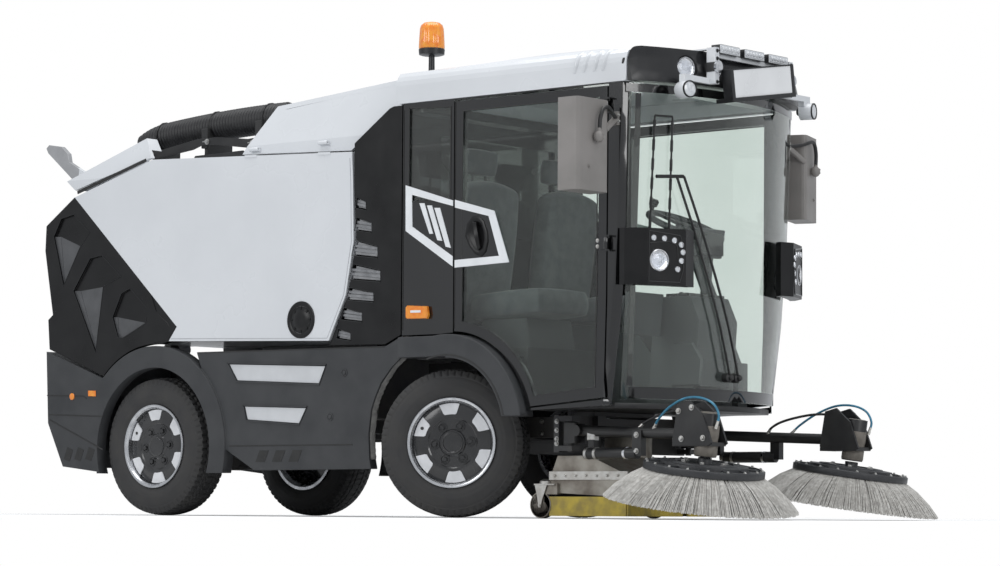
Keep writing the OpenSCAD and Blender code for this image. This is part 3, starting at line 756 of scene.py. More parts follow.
def cushion(name, centre, size, lean, crown):
    """Stuffed pad: a crowned block with sides pulled in between corners and two sewn channels."""
    bm = bmesh.new()
    bmesh.ops.create_cube(bm, size=2.0)
    bmesh.ops.subdivide_edges(bm, edges=bm.edges, cuts=11, use_grid_fill=True)
    for v in bm.verts:
        x, y, z = v.co
        ball = Vector(
            (
                x * math.sqrt(1 - y * y / 2 - z * z / 2 + y * y * z * z / 3),
                y * math.sqrt(1 - z * z / 2 - x * x / 2 + z * z * x * x / 3),
                z * math.sqrt(1 - x * x / 2 - y * y / 2 + x * x * y * y / 3),
            )
        )
        p = Vector((x, y, z)).lerp(ball, 0.34)
        p.z *= 1 + crown * (1 - x * x) * (1 - y * y)
        groove = max(0.0, 1 - abs(abs(y) - 0.56) / 0.07)
        if z > 0.9:
            p.z -= 0.10 * groove
        v.co = Vector((p.x * size[0] / 2, p.y * size[1] / 2, p.z * size[2] / 2))
    spin = Matrix.Rotation(math.radians(lean), 4, "Y")
    bmesh.ops.transform(bm, matrix=Matrix.Translation(centre) @ spin, verts=bm.verts)
    pad = piece_from(bm, name, seat_cloth, "chassis", 60)
    smooth = pad.modifiers.new("soft", "SUBSURF")
    smooth.levels = smooth.render_levels = 1
    return pad


for seat, y in (("right", -0.305), ("left", 0.305)):
    cushion("seat_cushion_" + seat, (0.735, y, 0.985), (0.46, 0.42, 0.13), -3, 0.12)
    cushion("seat_back_" + seat, (0.445, y, 1.275), (0.62, 0.42, 0.105), -83, 0.12)
    cushion("seat_head_" + seat, (0.418, y, 1.675), (0.125, 0.24, 0.065), -84, 0.10)
    pedestal = bmesh.new()
    slab(
        pedestal, [(0.56, 0.776), (0.88, 0.776), (0.85, 0.918), (0.59, 0.918)], y - 0.17,
        y + 0.17, 0.008
    )
    rod(pedestal, (0.425, y - 0.05, 1.56), (0.42, y - 0.05, 1.66), 0.008)
    rod(pedestal, (0.425, y + 0.05, 1.56), (0.42, y + 0.05, 1.66), 0.008)
    stand = piece_from(
        pedestal, "seat_pedestal_" + seat, inside_plastic, "chassis"
    )
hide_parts("seats")

dash_trim = bmesh.new()
brick(dash_trim, (1.4985, -0.01, 1.210), (1.5030, 0.16, 1.322), 0.001)
brick(dash_trim, (1.395, -0.14, 1.0105), (1.525, 0.14, 1.024), 0.004)
for y in (-0.10, -0.06, -0.02, 0.02, 0.06, 0.10):
    turned(
        dash_trim, [(0, 0.011), (0.006, 0.010), (0.008, 0.008)], (1.455, y, 1.024), (0, 0, 1),
        20
    )
screen_black = finish(
    "switch and screen black", (
        0.01, 0.011, 0.012
    ), (0.02, 0.02, 0.022), 0.12, 0.05, 12, 400, 0.00005
)
piece_from(dash_trim, "dash_switches", screen_black, "chassis")
wheel_knob = bmesh.new()
turned(
    wheel_knob, [(0, 0.010), (0.018, 0.010), (0.022, 0.020), (0.045, 0.024), (0.056, 0.016)],
    (1.055, 0.205, 1.452), (0.4, 0, 1), 24
)
piece_from(wheel_knob, "steering_knob", screen_black, "chassis")

# ---------------------------------------------------------------- cab frame
# The cab shell is a welded frame behind gloss black panels, with a hinge pin in
# lugs on each front post. On both rear corner panels a pale hexagonal band with
# three slashes crosses the door seam, above an amber side lamp.

gloss_black = finish(
    "gloss black panel", (
        0.0035, 0.0036, 0.004
    ), (0.006, 0.006, 0.0065), 0.06, 0.05, 4, 900, 0.00002,
    Coat_Weight=0.7, Coat_Roughness=0.03,
)
band_white = finish(
    "pale band", (0.80, 0.82, 0.84), (0.72, 0.74, 0.76), 0.32, 0.08, 12, 700, 0.00005
)
cover("cab_frame", gloss_black, 0.003)
side_y = -0.655
band_back = bmesh.new()
for part in (
    [(0.271, 1.547), (0.562, 1.459), (0.562, 1.433), (0.310, 1.500)],
    [(0.271, 1.547), (0.310, 1.500), (0.314, 1.351), (0.273, 1.333)],
    [(0.273, 1.333), (0.314, 1.351), (0.562, 1.201), (0.562, 1.154)],
    [(0.357, 1.458), (0.388, 1.456), (0.442, 1.311), (0.420, 1.312)],
    [(0.404, 1.445), (0.434, 1.443), (0.498, 1.275), (0.468, 1.280)],
    [(0.449, 1.431), (0.483, 1.429), (0.551, 1.240), (0.520, 1.247)],
):
    slab(band_back, part, side_y + 0.001, side_y - 0.0032, 0.0006)
pair_from(band_back, "corner_band", band_white, both_chassis)

amber = finish(
    "amber lens", (
        0.80, 0.20, 0.015
    ), (0.85, 0.33, 0.03), 0.12, 0.05, 40, 900, 0.0001, Coat_Weight=0.6
)
side_lamp = bmesh.new()
slab(
    side_lamp,
    [
        (0.300, 0.920), (0.420, 0.918), (0.428, 0.935), (0.420, 0.976), (0.300, 0.984),
        (0.290, 0.975), (0.290, 0.928)
    ],
    side_y + 0.001, side_y - 0.024, 0.006
)
pair_from(side_lamp, "side_lamp", amber, both_chassis)
lamp_bar = bmesh.new()
slab(
    lamp_bar, [(0.325, 0.948), (0.388, 0.947), (0.388, 0.958), (0.325, 0.959)], side_y - 0.0235,
    side_y - 0.0255, 0.0005
)
pair_from(lamp_bar, "side_lamp_bar", band_white, both_chassis)

# black for the real rubber seals; the same black is also laid on as painted shade in the skirt
# and bumper grooves and the cover gap
seal_and_shade_black = finish(
    "black rubber seal and painted shade", (
        0.012, 0.012, 0.012
    ), (0.022, 0.022, 0.022), 0.55, 0.1, 30, 600, 0.0002
)


def strip(bm, path, width, near, far):
    """Adds a narrow strip along an open path in X and Z."""
    sides = []
    for i, (x, z) in enumerate(path):
        a = Vector(path[max(i - 1, 0)])
        b = Vector(path[min(i + 1, len(path) - 1)])
        along = (b - a).normalized()
        off = Vector((-along.y, along.x)) * width / 2
        sides.append(((x + off.x, z + off.y), (x - off.x, z - off.y)))
    for (a, b), (c, d) in zip(sides, sides[1:]):
        slab(bm, [a, c, d, b], near, far)


post_seal = bmesh.new()
strip(post_seal, [(0.256, 0.87), (0.256, 1.90)], 0.004, side_y + 0.0005, side_y - 0.002)
strip(
    post_seal, [(0.288, 1.908), (0.544, 1.894), (0.544, 1.454), (0.288, 1.470), (0.288, 1.908)],
    0.008, side_y + 0.0005, side_y - 0.002
)
pair_from(post_seal, "quarter_seal", seal_and_shade_black, both_chassis)

# ---------------------------------------------------------------- cab doors
# Each door is a black frame bonded round one tall tinted pane, hung on two pins
# at its front edge. The front half of the pale band ends on it, round an oval
# pull handle in a moulded dish.


def glass_finish(name, colour, rough, tint):
    """Clear or tinted pane that lets lamp light through; the tint is mixed into its colour in
    broad patches and colours the light it passes to shadows.
    """
    material = bpy.data.materials.new(name)
    material.use_nodes = True
    nodes, links = material.node_tree.nodes, material.node_tree.links
    shader = nodes["Principled BSDF"]
    shader.inputs["Transmission Weight"].default_value = 1.0
    shader.inputs["IOR"].default_value = 1.45
    shader.inputs["Metallic"].default_value = 0.0
    group = nodes.new("ShaderNodeGroup")
    group.node_tree = patch_and_grain
    for socket, value in (
        ("Colour", (*colour, 1)),
        ("Shade", (*tint, 1)),
        ("Roughness", rough),
        ("Spread", 0.01),
        ("Patch Scale", 1.6),
        ("Grain Scale", 60),
        ("Grain Height", 0.0),
    ):
        group.inputs[socket].default_value = value
    links.new(group.outputs["Colour"], shader.inputs["Base Color"])
    links.new(group.outputs["Roughness"], shader.inputs["Roughness"])
    clear = nodes.new("ShaderNodeBsdfTransparent")
    clear.inputs["Color"].default_value = (*tint, 1)
    path = nodes.new("ShaderNodeLightPath")
    pick = nodes.new("ShaderNodeMixShader")
    links.new(path.outputs["Is Shadow Ray"], pick.inputs["Fac"])
    links.new(shader.outputs[0], pick.inputs[1])
    links.new(clear.outputs[0], pick.inputs[2])
    links.new(pick.outputs[0], nodes["Material Output"].inputs["Surface"])
    return material


door_glass = glass_finish("tinted door glass", (0.70, 0.76, 0.73), 0.0, (0.66, 0.72, 0.69))
for side in ("right", "left"):
    cover("door_" + side, gloss_black, 0.003)
    cover("door_glass_" + side, door_glass)
both_doors = ("cab_door_right", "cab_door_left")
door_band = bmesh.new()
for part in (
    [(0.574, 1.461), (0.810, 1.397), (0.776, 1.375), (0.574, 1.425)],
    [(0.810, 1.397), (0.898, 1.158), (0.839, 1.190), (0.776, 1.375)],
    [(0.898, 1.158), (0.574, 1.148), (0.574, 1.183), (0.839, 1.190)],
):
    slab(door_band, part, side_y + 0.001, side_y - 0.0032, 0.0006)
pair_from(door_band, "door_band", band_white, both_doors)
door_dish = bmesh.new()
slab(
    door_dish, [(0.576, 1.183), (0.8385, 1.1905), (0.7755, 1.3745), (0.576, 1.4245)],
    side_y + 0.003, side_y - 0.0016, 0.0004
)
pair_from(door_dish, "door_dish", gloss_black, both_doors)
satin_black = finish(
    "satin black moulding", (
        0.0045, 0.0045, 0.005
    ), (0.009, 0.009, 0.0095), 0.26, 0.10, 6, 800, 0.00006,
    Specular_IOR_Level=0.32
)
pull = bmesh.new()
oval = [
    (-1.0, 0.0), (-0.82, 0.62), (-0.36, 0.95), (0.12, 0.97), (0.62, 0.70), (0.92, 0.18),
    (0.98, -0.30), (0.80, -0.80), (0.42, -1.02), (-0.10, -0.90), (-0.60, -0.52)
]
rings = []
for scale_x, scale_z, out in (
    (0.070, 0.096, 0.0015), (0.068, 0.094, 0.007), (0.058, 0.083, 0.010), (0.047, 0.070, 0.006),
    (0.040, 0.060, 0.0018)
):
    rings.append(
        [
            pull.verts.new((0.707 + px * scale_x, side_y - out, 1.288 + pz * scale_z))
            for px, pz in oval
        ]
    )
for a, b in zip(rings, rings[1:]):
    for i in range(len(oval)):
        j = (i + 1) % len(oval)
        pull.faces.new((a[i], a[j], b[j], b[i]))
pull.faces.new(rings[-1])
slab(
    pull, [(0.690, 1.352), (0.712, 1.350), (0.738, 1.232), (0.722, 1.222), (0.700, 1.280)],
    side_y - 0.001, side_y - 0.016, 0.004
)
pair_from(pull, "door_pull", satin_black, both_doors, 50)
door_seal = bmesh.new()
strip(door_seal, [(0.5735, 0.868), (0.5735, 1.912)], 0.003, side_y + 0.0005, side_y - 0.0018)
strip(
    door_seal,
    [
        (0.618, 0.905), (0.618, 1.868), (1.404, 1.868), (1.400, 0.985), (1.392, 0.582),
        (1.06, 0.552)
    ],
    0.006, side_y + 0.0005, side_y - 0.0018
)
pair_from(door_seal, "door_seal", seal_and_shade_black, both_doors)
hinge_bolts = bmesh.new()
for z in (1.202, 1.228, 1.812, 1.838):
    bolt(hinge_bolts, (1.424, -0.6811, z), (0, -1, 0), 0.006)
pair_from(hinge_bolts, "door_hinge_bolts", steel_bolt, both_doors)

# ---------------------------------------------------------------- windscreen
# One tall, curved pane of faintly green glass, bonded into the posts, with small
# side and rear panes of the same glass. A pantograph wiper stands on a black
# bracket at its foot and carries one long upright blade.

screen_glass = glass_finish("windscreen glass", (0.90, 0.95, 0.925), 0.0, (0.84, 0.90, 0.87))
cover("cab_glass", screen_glass)


screen_axis_x = 0.44  # the upright line that the windscreen bends round


def screen_point(x, y, z, off):
    """The place nearest to a point on the windscreen's outer face, moved outwards by off."""
    rows = ((0.530, 1.195), (0.900, 1.237), (1.300, 1.264), (1.928, 1.285))
    radius = rows[0][1]
    for (z0, r0), (z1, r1) in zip(rows, rows[1:]):
        if z >= z0:
            radius = r0 + (r1 - r0) * (min(z, z1) - z0) / (z1 - z0)
    out = Vector((x - screen_axis_x, y, 0)).normalized() * (radius + off)
    return Vector((screen_axis_x + out.x, out.y, z))


def pipe(name, points, radius, material, body, sides=6):
    """A bent tube or hose as one curve through its points."""
    data = bpy.data.curves.new(name, "CURVE")
    data.dimensions = "3D"
    data.bevel_depth = radius
    data.bevel_resolution = sides // 2
    data.use_fill_caps = True
    spline = data.splines.new("POLY")
    line = [Vector(p) for p in points]
    ends = [line[0] * 2 - line[1], *line, line[-1] * 2 - line[-2]]
    line = []
    for p0, p1, p2, p3 in zip(ends, ends[1:], ends[2:], ends[3:]):
        for k in range(8):
            t = k / 8
            bend = (p0 * 2 - p1 * 5 + p2 * 4 - p3) * t * t
            twist = (p1 * 3 - p0 - p2 * 3 + p3) * t**3
            line.append((p1 * 2 + (p2 - p0) * t + bend + twist) / 2)
    line.append(ends[-2])
    spline.points.add(len(line) - 1)
    for point, place in zip(spline.points, line):
        point.co = (*place, 1)
    data.materials.append(material)
    piece = bpy.data.objects.new(name, data)
    scene.collection.objects.link(piece)
    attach(piece, body)
    return piece, line


wiper = bmesh.new()
for start, end, radius in (
    ((1.669, -0.43, 1.520), (1.677, -0.035, 0.642), 0.006),
    ((1.681, -0.392, 1.520), (1.672, 0.03, 0.640), 0.006),
):
    a, b = Vector(start), Vector(end)
    previous = None
    for k in range(9):
        p = a.lerp(b, k / 8)
        p = screen_point(p.x, p.y, p.z, 0.034)
        if previous:
            rod(wiper, previous, p, radius, 8)
        previous = p
rod(
    wiper, screen_point(1.63, -0.526, 1.513, 0.030), screen_point(1.681, -0.391, 1.521, 0.030),
    0.008, 10
)
for y_top, y_low, x in ((-0.530, -0.547, 1.63), (-0.443, -0.450, 1.66)):
    top, low = Vector((x, y_top, 1.782)), Vector((x, y_low, 1.270))
    previous = None
    for k in range(7):
        p = top.lerp(low, k / 6)
        p = screen_point(p.x, p.y, p.z, 0.014)
        if previous:
            rod(wiper, previous, p, 0.0045, 8)
            rod(
                wiper, previous.lerp(p, 0.2), previous.lerp(p, 0.8) + Vector((0, 0, 0.0001)),
                0.0068, 8
            )
        previous = p
rod(
    wiper, screen_point(1.63, -0.530, 1.784, 0.014), screen_point(1.66, -0.443, 1.784, 0.014),
    0.005, 8
)
piece_from(wiper, "wiper_arms", black_powder, "chassis")
wiper_foot = bmesh.new()
for y in (-0.035, 0.03):
    p = screen_point(1.68, y, 0.64, 0.0)
    turned(
        wiper_foot,
        [(0.002, 0.022), (0.03, 0.022), (0.036, 0.014), (0.046, 0.014), (0.050, 0.009)], p,
        (p.x - screen_axis_x, p.y, 0), 20
    )
piece_from(wiper_foot, "wiper_foot", black_powder, "chassis")


def on_screen(name, corners, off, material, cells=14):
    """A thin bonded strip that follows the windscreen between two places and two heights."""
    (y0, z0), (y1, z1) = corners
    bm = bmesh.new()
    inner, outer = [], []
    for row, z in ((0, z0), (1, z1)):
        for target, lift in ((inner, off), (outer, off + 0.0012)):
            line = []
            for k in range(cells + 1):
                y = y0 + (y1 - y0) * k / cells
                line.append(
                    bm.verts.new(
                        screen_point(screen_axis_x + math.sqrt(1.55 - y * y), y, z, lift)
                    )
                )
            target.append(line)
    for k in range(cells):
        bm.faces.new((outer[0][k], outer[0][k + 1], outer[1][k + 1], outer[1][k]))
        bm.faces.new((inner[0][k], inner[1][k], inner[1][k + 1], inner[0][k + 1]))
        bm.faces.new((inner[0][k], inner[0][k + 1], outer[0][k + 1], outer[0][k]))
        bm.faces.new((inner[1][k], outer[1][k], outer[1][k + 1], inner[1][k + 1]))
    bm.faces.new((inner[0][0], outer[0][0], outer[1][0], inner[1][0]))
    bm.faces.new((inner[0][-1], inner[1][-1], outer[1][-1], outer[0][-1]))
    return piece_from(bm, name, material, "chassis")


on_screen(
    "screen_lower_band", ((-0.575, 0.534), (0.575, 0.585)), 0.0004, gloss_black
)
on_screen(
    "screen_upper_band", ((-0.625, 1.885), (0.625, 1.922)), 0.0004, gloss_black
)
for side, y in (("right", -1), ("left", 1)):
    on_screen(
        "screen_edge_" + side, ((y * 0.562, 0.590), (y * 0.585, 1.88)), 0.0004, gloss_black,
        2
    )
foot_box = bmesh.new()
slab(
    foot_box, [(1.44, 0.60), (1.60, 0.60), (1.615, 0.72), (1.56, 0.80), (1.45, 0.80)], -0.16,
    0.08, 0.01
)
slab(foot_box, [(1.36, 0.83), (1.38, 0.83), (1.40, 1.02), (1.38, 1.02)], -0.42, -0.16, 0.004)
piece_from(foot_box, "wiper_motor_box", inside_plastic, "chassis")

# ---------------------------------------------------------------- roof
# The roof is one white moulding with four shallow ribs and a small black plug
# on each side. A black moulded visor with deep lamp wells closes its front.

white_paint = finish(
    "cool white paint", (0.67, 0.69, 0.715), (0.63, 0.65, 0.675), 0.26, 0.06, 2.5, 900, 0.00003,
    Coat_Weight=0.35, Coat_Roughness=0.08,
)
visor_black = finish(
    "black visor moulding", (
        0.012, 0.0125, 0.014
    ), (0.018, 0.0185, 0.020), 0.26, 0.10, 5, 600, 0.00006,
    Specular_IOR_Level=0.4
)
cover("cab_roof", white_paint, 0.006)
cover("roof_visor", visor_black, 0.006)


def roof_strip(bm, x_low, x_high, width, z_low, top_turn, height):
    """A strip that runs up the roof's side and over its round shoulder, leaning forwards."""
    path = [(-0.663, z_low, 0.0, -1.0, 0.0), (-0.663, 2.014, 0.45, -1.0, 0.0)]
    for k in range(1, 7):
        turn = math.radians(top_turn * k / 6)
        path.append(
            (
                -0.579 - 0.084 * math.cos(turn), 2.014 + 0.084 * math.sin(turn),
                0.45 + 0.55 * k / 6, -math.cos(turn), math.sin(turn)
            )
        )
    rows = []
    for y, z, share, ny, nz in path:
        lift = height * min(1.0, 4 * share * (1 - share) + 0.15)
        x = x_low + (x_high - x_low) * share
        rows.append([
            bm.verts.new((x, y - ny * 0.003, z - nz * 0.003)),
            bm.verts.new((x + width * 0.3, y + ny * lift, z + nz * lift)),
            bm.verts.new((x + width * 0.7, y + ny * lift, z + nz * lift)),
            bm.verts.new((x + width, y - ny * 0.003, z - nz * 0.003)),
        ])
    for a, b in zip(rows, rows[1:]):
        for i in range(4):
            j = (i + 1) % 4
            bm.faces.new((a[i], a[j], b[j], b[i]))
    bm.faces.new(rows[0])
    bm.faces.new(list(reversed(rows[-1])))


ribs = bmesh.new()
for x in (1.262, 1.314, 1.374, 1.422):
    roof_strip(ribs, x, x + 0.02, 0.028, 1.985, 52, 0.009)
pair_from(ribs, "roof_ribs", white_paint, both_chassis, 60)
plug = bmesh.new()
roof_strip(plug, 1.535, 1.540, 0.022, 2.006, 12, 0.002)
pair_from(plug, "roof_plug", gloss_black, both_chassis)

lamp_silver = finish(
    "lamp reflector", (
        0.80, 0.81, 0.83
    ), (0.62, 0.63, 0.66), 0.12, 0.12, 60, 700, 0.0002, Metallic=1.0
)
lens_glass = glass_finish("clear lamp lens", (0.97, 0.98, 1.0), 0.02, (0.93, 0.95, 0.97))
lens_white = finish(
    "milky lamp lens", (
        0.72, 0.74, 0.76
    ), (0.55, 0.57, 0.60), 0.10, 0.05, 90, 260, 0.0006, Coat_Weight=0.8
)


def lamp_insert(name, at, direction, radius, depth):
    """Bowl, bulb, lens and bezel of one round lamp that looks along direction."""
    bowl = bmesh.new()
    turned(
        bowl,
        [
            (0.0, radius * 0.15), (0.001, radius * 0.42), (depth * 0.4, radius * 0.72),
            (depth * 0.8, radius * 0.93), (depth * 0.8, radius * 0.97),
            (depth * 0.3, radius * 0.80), (-0.004, radius * 0.45), (-0.004, radius * 0.15)
        ],
        at, direction, 40
    )
    turned(
        bowl,
        [(0.0, radius * 0.16), (depth * 0.35, radius * 0.15), (depth * 0.5, radius * 0.05)], at,
        direction, 20
    )
    pair_from(bowl, name + "_bowl", lamp_silver, both_chassis, 40)
    lens = bmesh.new()
    turned(
        lens,
        [
            (depth * 0.78, radius * 0.96), (depth * 0.86, radius * 0.96),
            (depth * 0.98, radius * 0.7), (depth * 1.04, radius * 0.35), (depth * 1.05, 0.0005),
            (depth * 1.0, 0.0005), (depth * 0.93, radius * 0.68)
        ],
        at, direction, 40
    )
    pair_from(lens, name + "_lens", lens_glass, both_chassis, 40)
    bezel = bmesh.new()
    turned(
        bezel,
        [
            (depth * 0.7, radius * 0.955), (depth * 0.92, radius * 0.955),
            (depth * 0.95, radius * 1.0), (depth * 0.90, radius * 1.05),
            (depth * 0.7, radius * 1.05)
        ],
        at, direction, 40
    )
    pair_from(bezel, name + "_bezel", lamp_silver, both_chassis, 40)


def well_point(turn, distance, z=2.006):
    turn = math.radians(turn)
    return (screen_axis_x + distance * math.cos(turn), -distance * math.sin(turn), z)


lamp_insert(
    "main_beam", well_point(17, 1.258),
    (math.cos(math.radians(17)), -math.sin(math.radians(17)), 0), 0.050, 0.044
)
lamp_insert(
    "dip_beam", well_point(9.4, 1.276),
    (math.cos(math.radians(9.4)), -math.sin(math.radians(9.4)), 0), 0.030, 0.032
)

# ---------------------------------------------------------------- roof lamps
# A painted rail over the visor carries three strobe bars between two uprights,
# and a round work lamp hangs outboard of each upright.

cover("roof_lamps", white_paint, 0.003)
for strobe_number, y in enumerate((-0.19, 0.0, 0.19)):
    strobe = bmesh.new()
    brick(strobe, (1.7385, y - 0.0765, 2.0775), (1.7895, y + 0.0765, 2.1175), 0.004)
    piece_from(strobe, "strobe_case_%d" % strobe_number, visor_black, "chassis")
    leds = bmesh.new()
    brick(leds, (1.7885, y - 0.070, 2.084), (1.7935, y + 0.070, 2.1115), 0.003)
    for k in range(6):
        turned(
            leds, [(0, 0.0105), (0.003, 0.0095), (0.006, 0.005), (0.0065, 0.0008)],
            (1.7930, y - 0.056 + k * 0.0224, 2.098), (1, 0, 0), 14
        )
    piece_from(leds, "strobe_lens_%d" % strobe_number, lens_white, "chassis", 50)
work_turn = math.radians(15)
work_way = (math.cos(work_turn), -math.sin(work_turn), 0)
work_lamp = bmesh.new()
turned(
    work_lamp, [(0.061, 0.0385), (0.067, 0.0385), (0.067, 0.033), (0.061, 0.033)],
    (1.722, -0.470, 1.893), work_way, 36
)
turned(
    work_lamp, [(-0.018, 0.014), (-0.004, 0.024), (0.001, 0.036), (0.001, 0.014)],
    (1.722, -0.470, 1.893), work_way, 36
)
pair_from(work_lamp, "work_lamp_rim", visor_black, both_chassis)
work_lens = bmesh.new()
turned(
    work_lens,
    [
        (0.0605, 0.0345), (0.0635, 0.034), (0.068, 0.022), (0.0695, 0.008), (0.0695, 0.0006),
        (0.0605, 0.0006)
    ],
    (1.722, -0.470, 1.893), work_way, 36
)
pair_from(work_lens, "work_lamp_lens", lens_white, both_chassis, 50)
small_lamps = bmesh.new()
turned(
    small_lamps, [(0, 0.026), (0.012, 0.028), (0.014, 0.022), (0.006, 0.0006)],
    (1.7900, -0.290, 2.012), (1, 0, 0), 28
)
pair_from(small_lamps, "upright_lamp", lamp_silver, both_chassis, 45)
brackets = bmesh.new()
slab(
    brackets, [(1.742, 1.9905), (1.7895, 1.9905), (1.7905, 2.034), (1.742, 2.034)], -0.307,
    -0.273, 0.002
)
for z in (1.945, 2.05, 2.085):
    bolt(brackets, (1.7905, -0.290, z), (1, 0, 0), 0.006)
pair_from(brackets, "upright_brackets", visor_black, both_chassis)

# ---------------------------------------------------------------- sign
# A plain lit sign box leans over the windscreen: a blank milky panel in a black
# extruded frame, standing on a dark folded tray.

sign_panel = finish(
    "blank sign panel", (
        0.78, 0.79, 0.80
    ), (0.72, 0.73, 0.74), 0.22, 0.06, 6, 600, 0.00003, Coat_Weight=0.3
)
cover("sign_box", sign_panel, 0.002)
sign_place = Matrix.Translation((1.7905, 0, 1.975)) @ Matrix.Rotation(math.radians(9), 4, "X")
sign_frame = bmesh.new()
brick(sign_frame, (-0.001, -0.2505, -0.0665), (0.0485, -0.226, 0.0675), 0.002)
brick(sign_frame, (-0.001, 0.226, -0.0665), (0.0485, 0.2505, 0.0675), 0.002)
brick(sign_frame, (-0.001, -0.226, 0.0605), (0.0485, 0.226, 0.0675), 0.002)
brick(sign_frame, (-0.046, -0.2505, -0.082), (0.0505, 0.2505, -0.0625), 0.003)
sign_frame = placed(sign_frame, sign_place)
piece_from(sign_frame, "sign_frame", visor_black, "chassis")

# ---------------------------------------------------------------- beacon
# An amber ribbed dome on a black base, on a short stalk at the roof's rear corner.

beacon_base = bmesh.new()
turned(
    beacon_base,
    [
        (0.0, 0.030), (0.012, 0.030), (0.014, 0.015), (0.093, 0.014), (0.095, 0.048),
        (0.099, 0.060), (0.123, 0.062), (0.127, 0.058)
    ],
    (0.285, -0.495, 2.078), (0, 0, 1), 48
)
piece_from(beacon_base, "beacon_base", visor_black, "chassis")
dome = bmesh.new()
rings = []
for z, r in (
    (2.204, 0.0585), (2.209, 0.0605), (2.25, 0.0585), (2.300, 0.0555), (2.316, 0.050),
    (2.327, 0.038), (2.331, 0.020)
):
    ring = []
    for k in range(96):
        turn = math.tau * k / 96
        ripple = 0.0011 * math.cos(24 * turn) if r > 0.045 else 0.0
        ring.append(
            dome.verts.new(
                (
                    0.285 + (r + ripple) * math.cos(turn),
                    -0.495 + (r + ripple) * math.sin(turn), z
                )
            )
        )
    rings.append(ring)
for a, b in zip(rings, rings[1:]):
    for k in range(96):
        dome.faces.new((a[k], a[(k + 1) % 96], b[(k + 1) % 96], b[k]))
dome.faces.new(list(reversed(rings[0])))
dome.faces.new(rings[-1])
amber_dome = piece_from(dome, "beacon_dome", amber, "chassis", 40)
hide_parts("beacon")

# ---------------------------------------------------------------- mirrors
# Tall warm grey mirror heads hang on bent black tubes from the door posts, each
# held by a ball clamp on its face, with a flat glass set into its rear.

mirror_grey = finish(
    "warm grey mirror shell", (
        0.24, 0.225, 0.215
    ), (0.20, 0.19, 0.18), 0.42, 0.12, 5, 650, 0.00015
)
mirror_silver = finish(
    "mirror glass", (
        0.82, 0.84, 0.86
    ), (0.78, 0.80, 0.82), 0.02, 0.02, 8, 500, 0.00001, Metallic=1.0
)
cover("mirrors", mirror_grey, 0.014)
left_turn = (
    Matrix.Translation((1.528, 0.763, 0)) @ Matrix.Rotation(
        math.radians(20), 4, "Z"
    ) @ Matrix.Translation((-1.528, -0.763, 0))
)


def mirror_pair(bm, name, material):
    """Right-hand piece on a mirror head, and its partner turned with the left head."""
    turned_copy = placed(mirrored(bm), left_turn)
    piece_from(bm, name + "_right", material, "chassis", 50)
    piece_from(turned_copy, name + "_left", material, "chassis", 50)


mirror_face = bmesh.new()
brick(mirror_face, (1.4365, -0.972, 1.440), (1.4408, -0.776, 1.816), 0.0015)
mirror_pair(mirror_face, "mirror_glass", mirror_silver)
mirror_clamp = bmesh.new()
turned(
    mirror_clamp,
    [
        (0.0, 0.010), (0.004, 0.018), (0.012, 0.0235), (0.022, 0.0265), (0.032, 0.0235),
        (0.040, 0.016), (0.044, 0.008)
    ],
    (1.549, -0.862, 1.662), (1, 0, 0), 28
)
rod(mirror_clamp, (1.573, -0.862, 1.645), (1.573, -0.862, 1.700), 0.009)
for z in (1.655, 1.671):
    bolt(mirror_clamp, (1.590, -0.862, z), (1, 0, 0), 0.004)
bolt(mirror_clamp, (1.5505, -0.905, 1.530), (1, 0, 0), 0.006)
mirror_pair(mirror_clamp, "mirror_clamp", mirror_grey)
bolt_heads = bmesh.new()
for z in (1.752, 1.778):
    bolt(bolt_heads, (1.5245, -0.664, z), (1, 0, 0), 0.006)
pair_from(bolt_heads, "mirror_bolts", steel_bolt, both_chassis)
for side, sign in (("right", -1), ("left", 1)):
    arm = [
        (1.573, -0.862, 1.690), (1.575, -0.858, 1.745), (1.574, -0.835, 1.786),
        (1.570, -0.800, 1.797)
    ]
    if side == "left":
        arm = [left_turn @ Vector((x, -y, z)) for x, y, z in arm]
    arm += [
        (1.560, sign * 0.765, 1.786), (1.545, sign * 0.730, 1.775),
        (1.520, sign * 0.680, 1.766), (1.510, sign * 0.672, 1.765)
    ]
    pipe("mirror_arm_" + side, arm, 0.009, black_powder, "chassis")

# ---------------------------------------------------------------- headlamps
# Each headlamp pod stands off the windscreen's edge on the cab post. It holds one
# round beam in a black bezel and an arc of seven small day lamps in bright rings.

cover("headlamps", satin_black, 0.006)
lamp_turn = math.radians(23)
lamp_way = (math.cos(lamp_turn), -math.sin(lamp_turn), 0)
lamp_insert("head_beam", (1.6275, -0.5297, 1.139), lamp_way, 0.0465, 0.044)
day_rings, day_lenses = bmesh.new(), bmesh.new()
for x, y, z in (
    (1.651, -0.573, 1.237), (1.672, -0.523, 1.236), (1.692, -0.476, 1.229),
    (1.706, -0.444, 1.211), (1.7095, -0.436, 1.178), (1.706, -0.443, 1.140),
    (1.699, -0.461, 1.102)
):
    turned(
        day_rings,
        [
            (-0.004, 0.0135), (0.003, 0.0135), (0.0045, 0.0125), (0.003, 0.0105),
            (-0.004, 0.0105)
        ],
        (x, y, z), lamp_way, 24
    )
    turned(
        day_lenses,
        [
            (-0.003, 0.0108), (0.001, 0.0108), (0.0035, 0.0075), (0.0045, 0.0030),
            (0.0045, 0.0004), (-0.003, 0.0004)
        ],
        (x, y, z), lamp_way, 20
    )
pair_from(day_rings, "day_lamp_rings", lamp_silver, both_chassis, 45)
pair_from(day_lenses, "day_lamp_lenses", lens_white, both_chassis, 50)
pod_trim = bmesh.new()


def on_pod(along, z, out):
    """Place on the pod's front face, along it from its inner edge, lifted by out."""
    return Vector(
        (1.716 - 0.389 * along + 0.921 * out, -0.420 - 0.921 * along - 0.389 * out, z)
    )


def pod_bar(a, b, width=0.004):
    start, end = on_pod(*a, 0.001), on_pod(*b, 0.001)
    rod(pod_trim, start, end, width, 8)


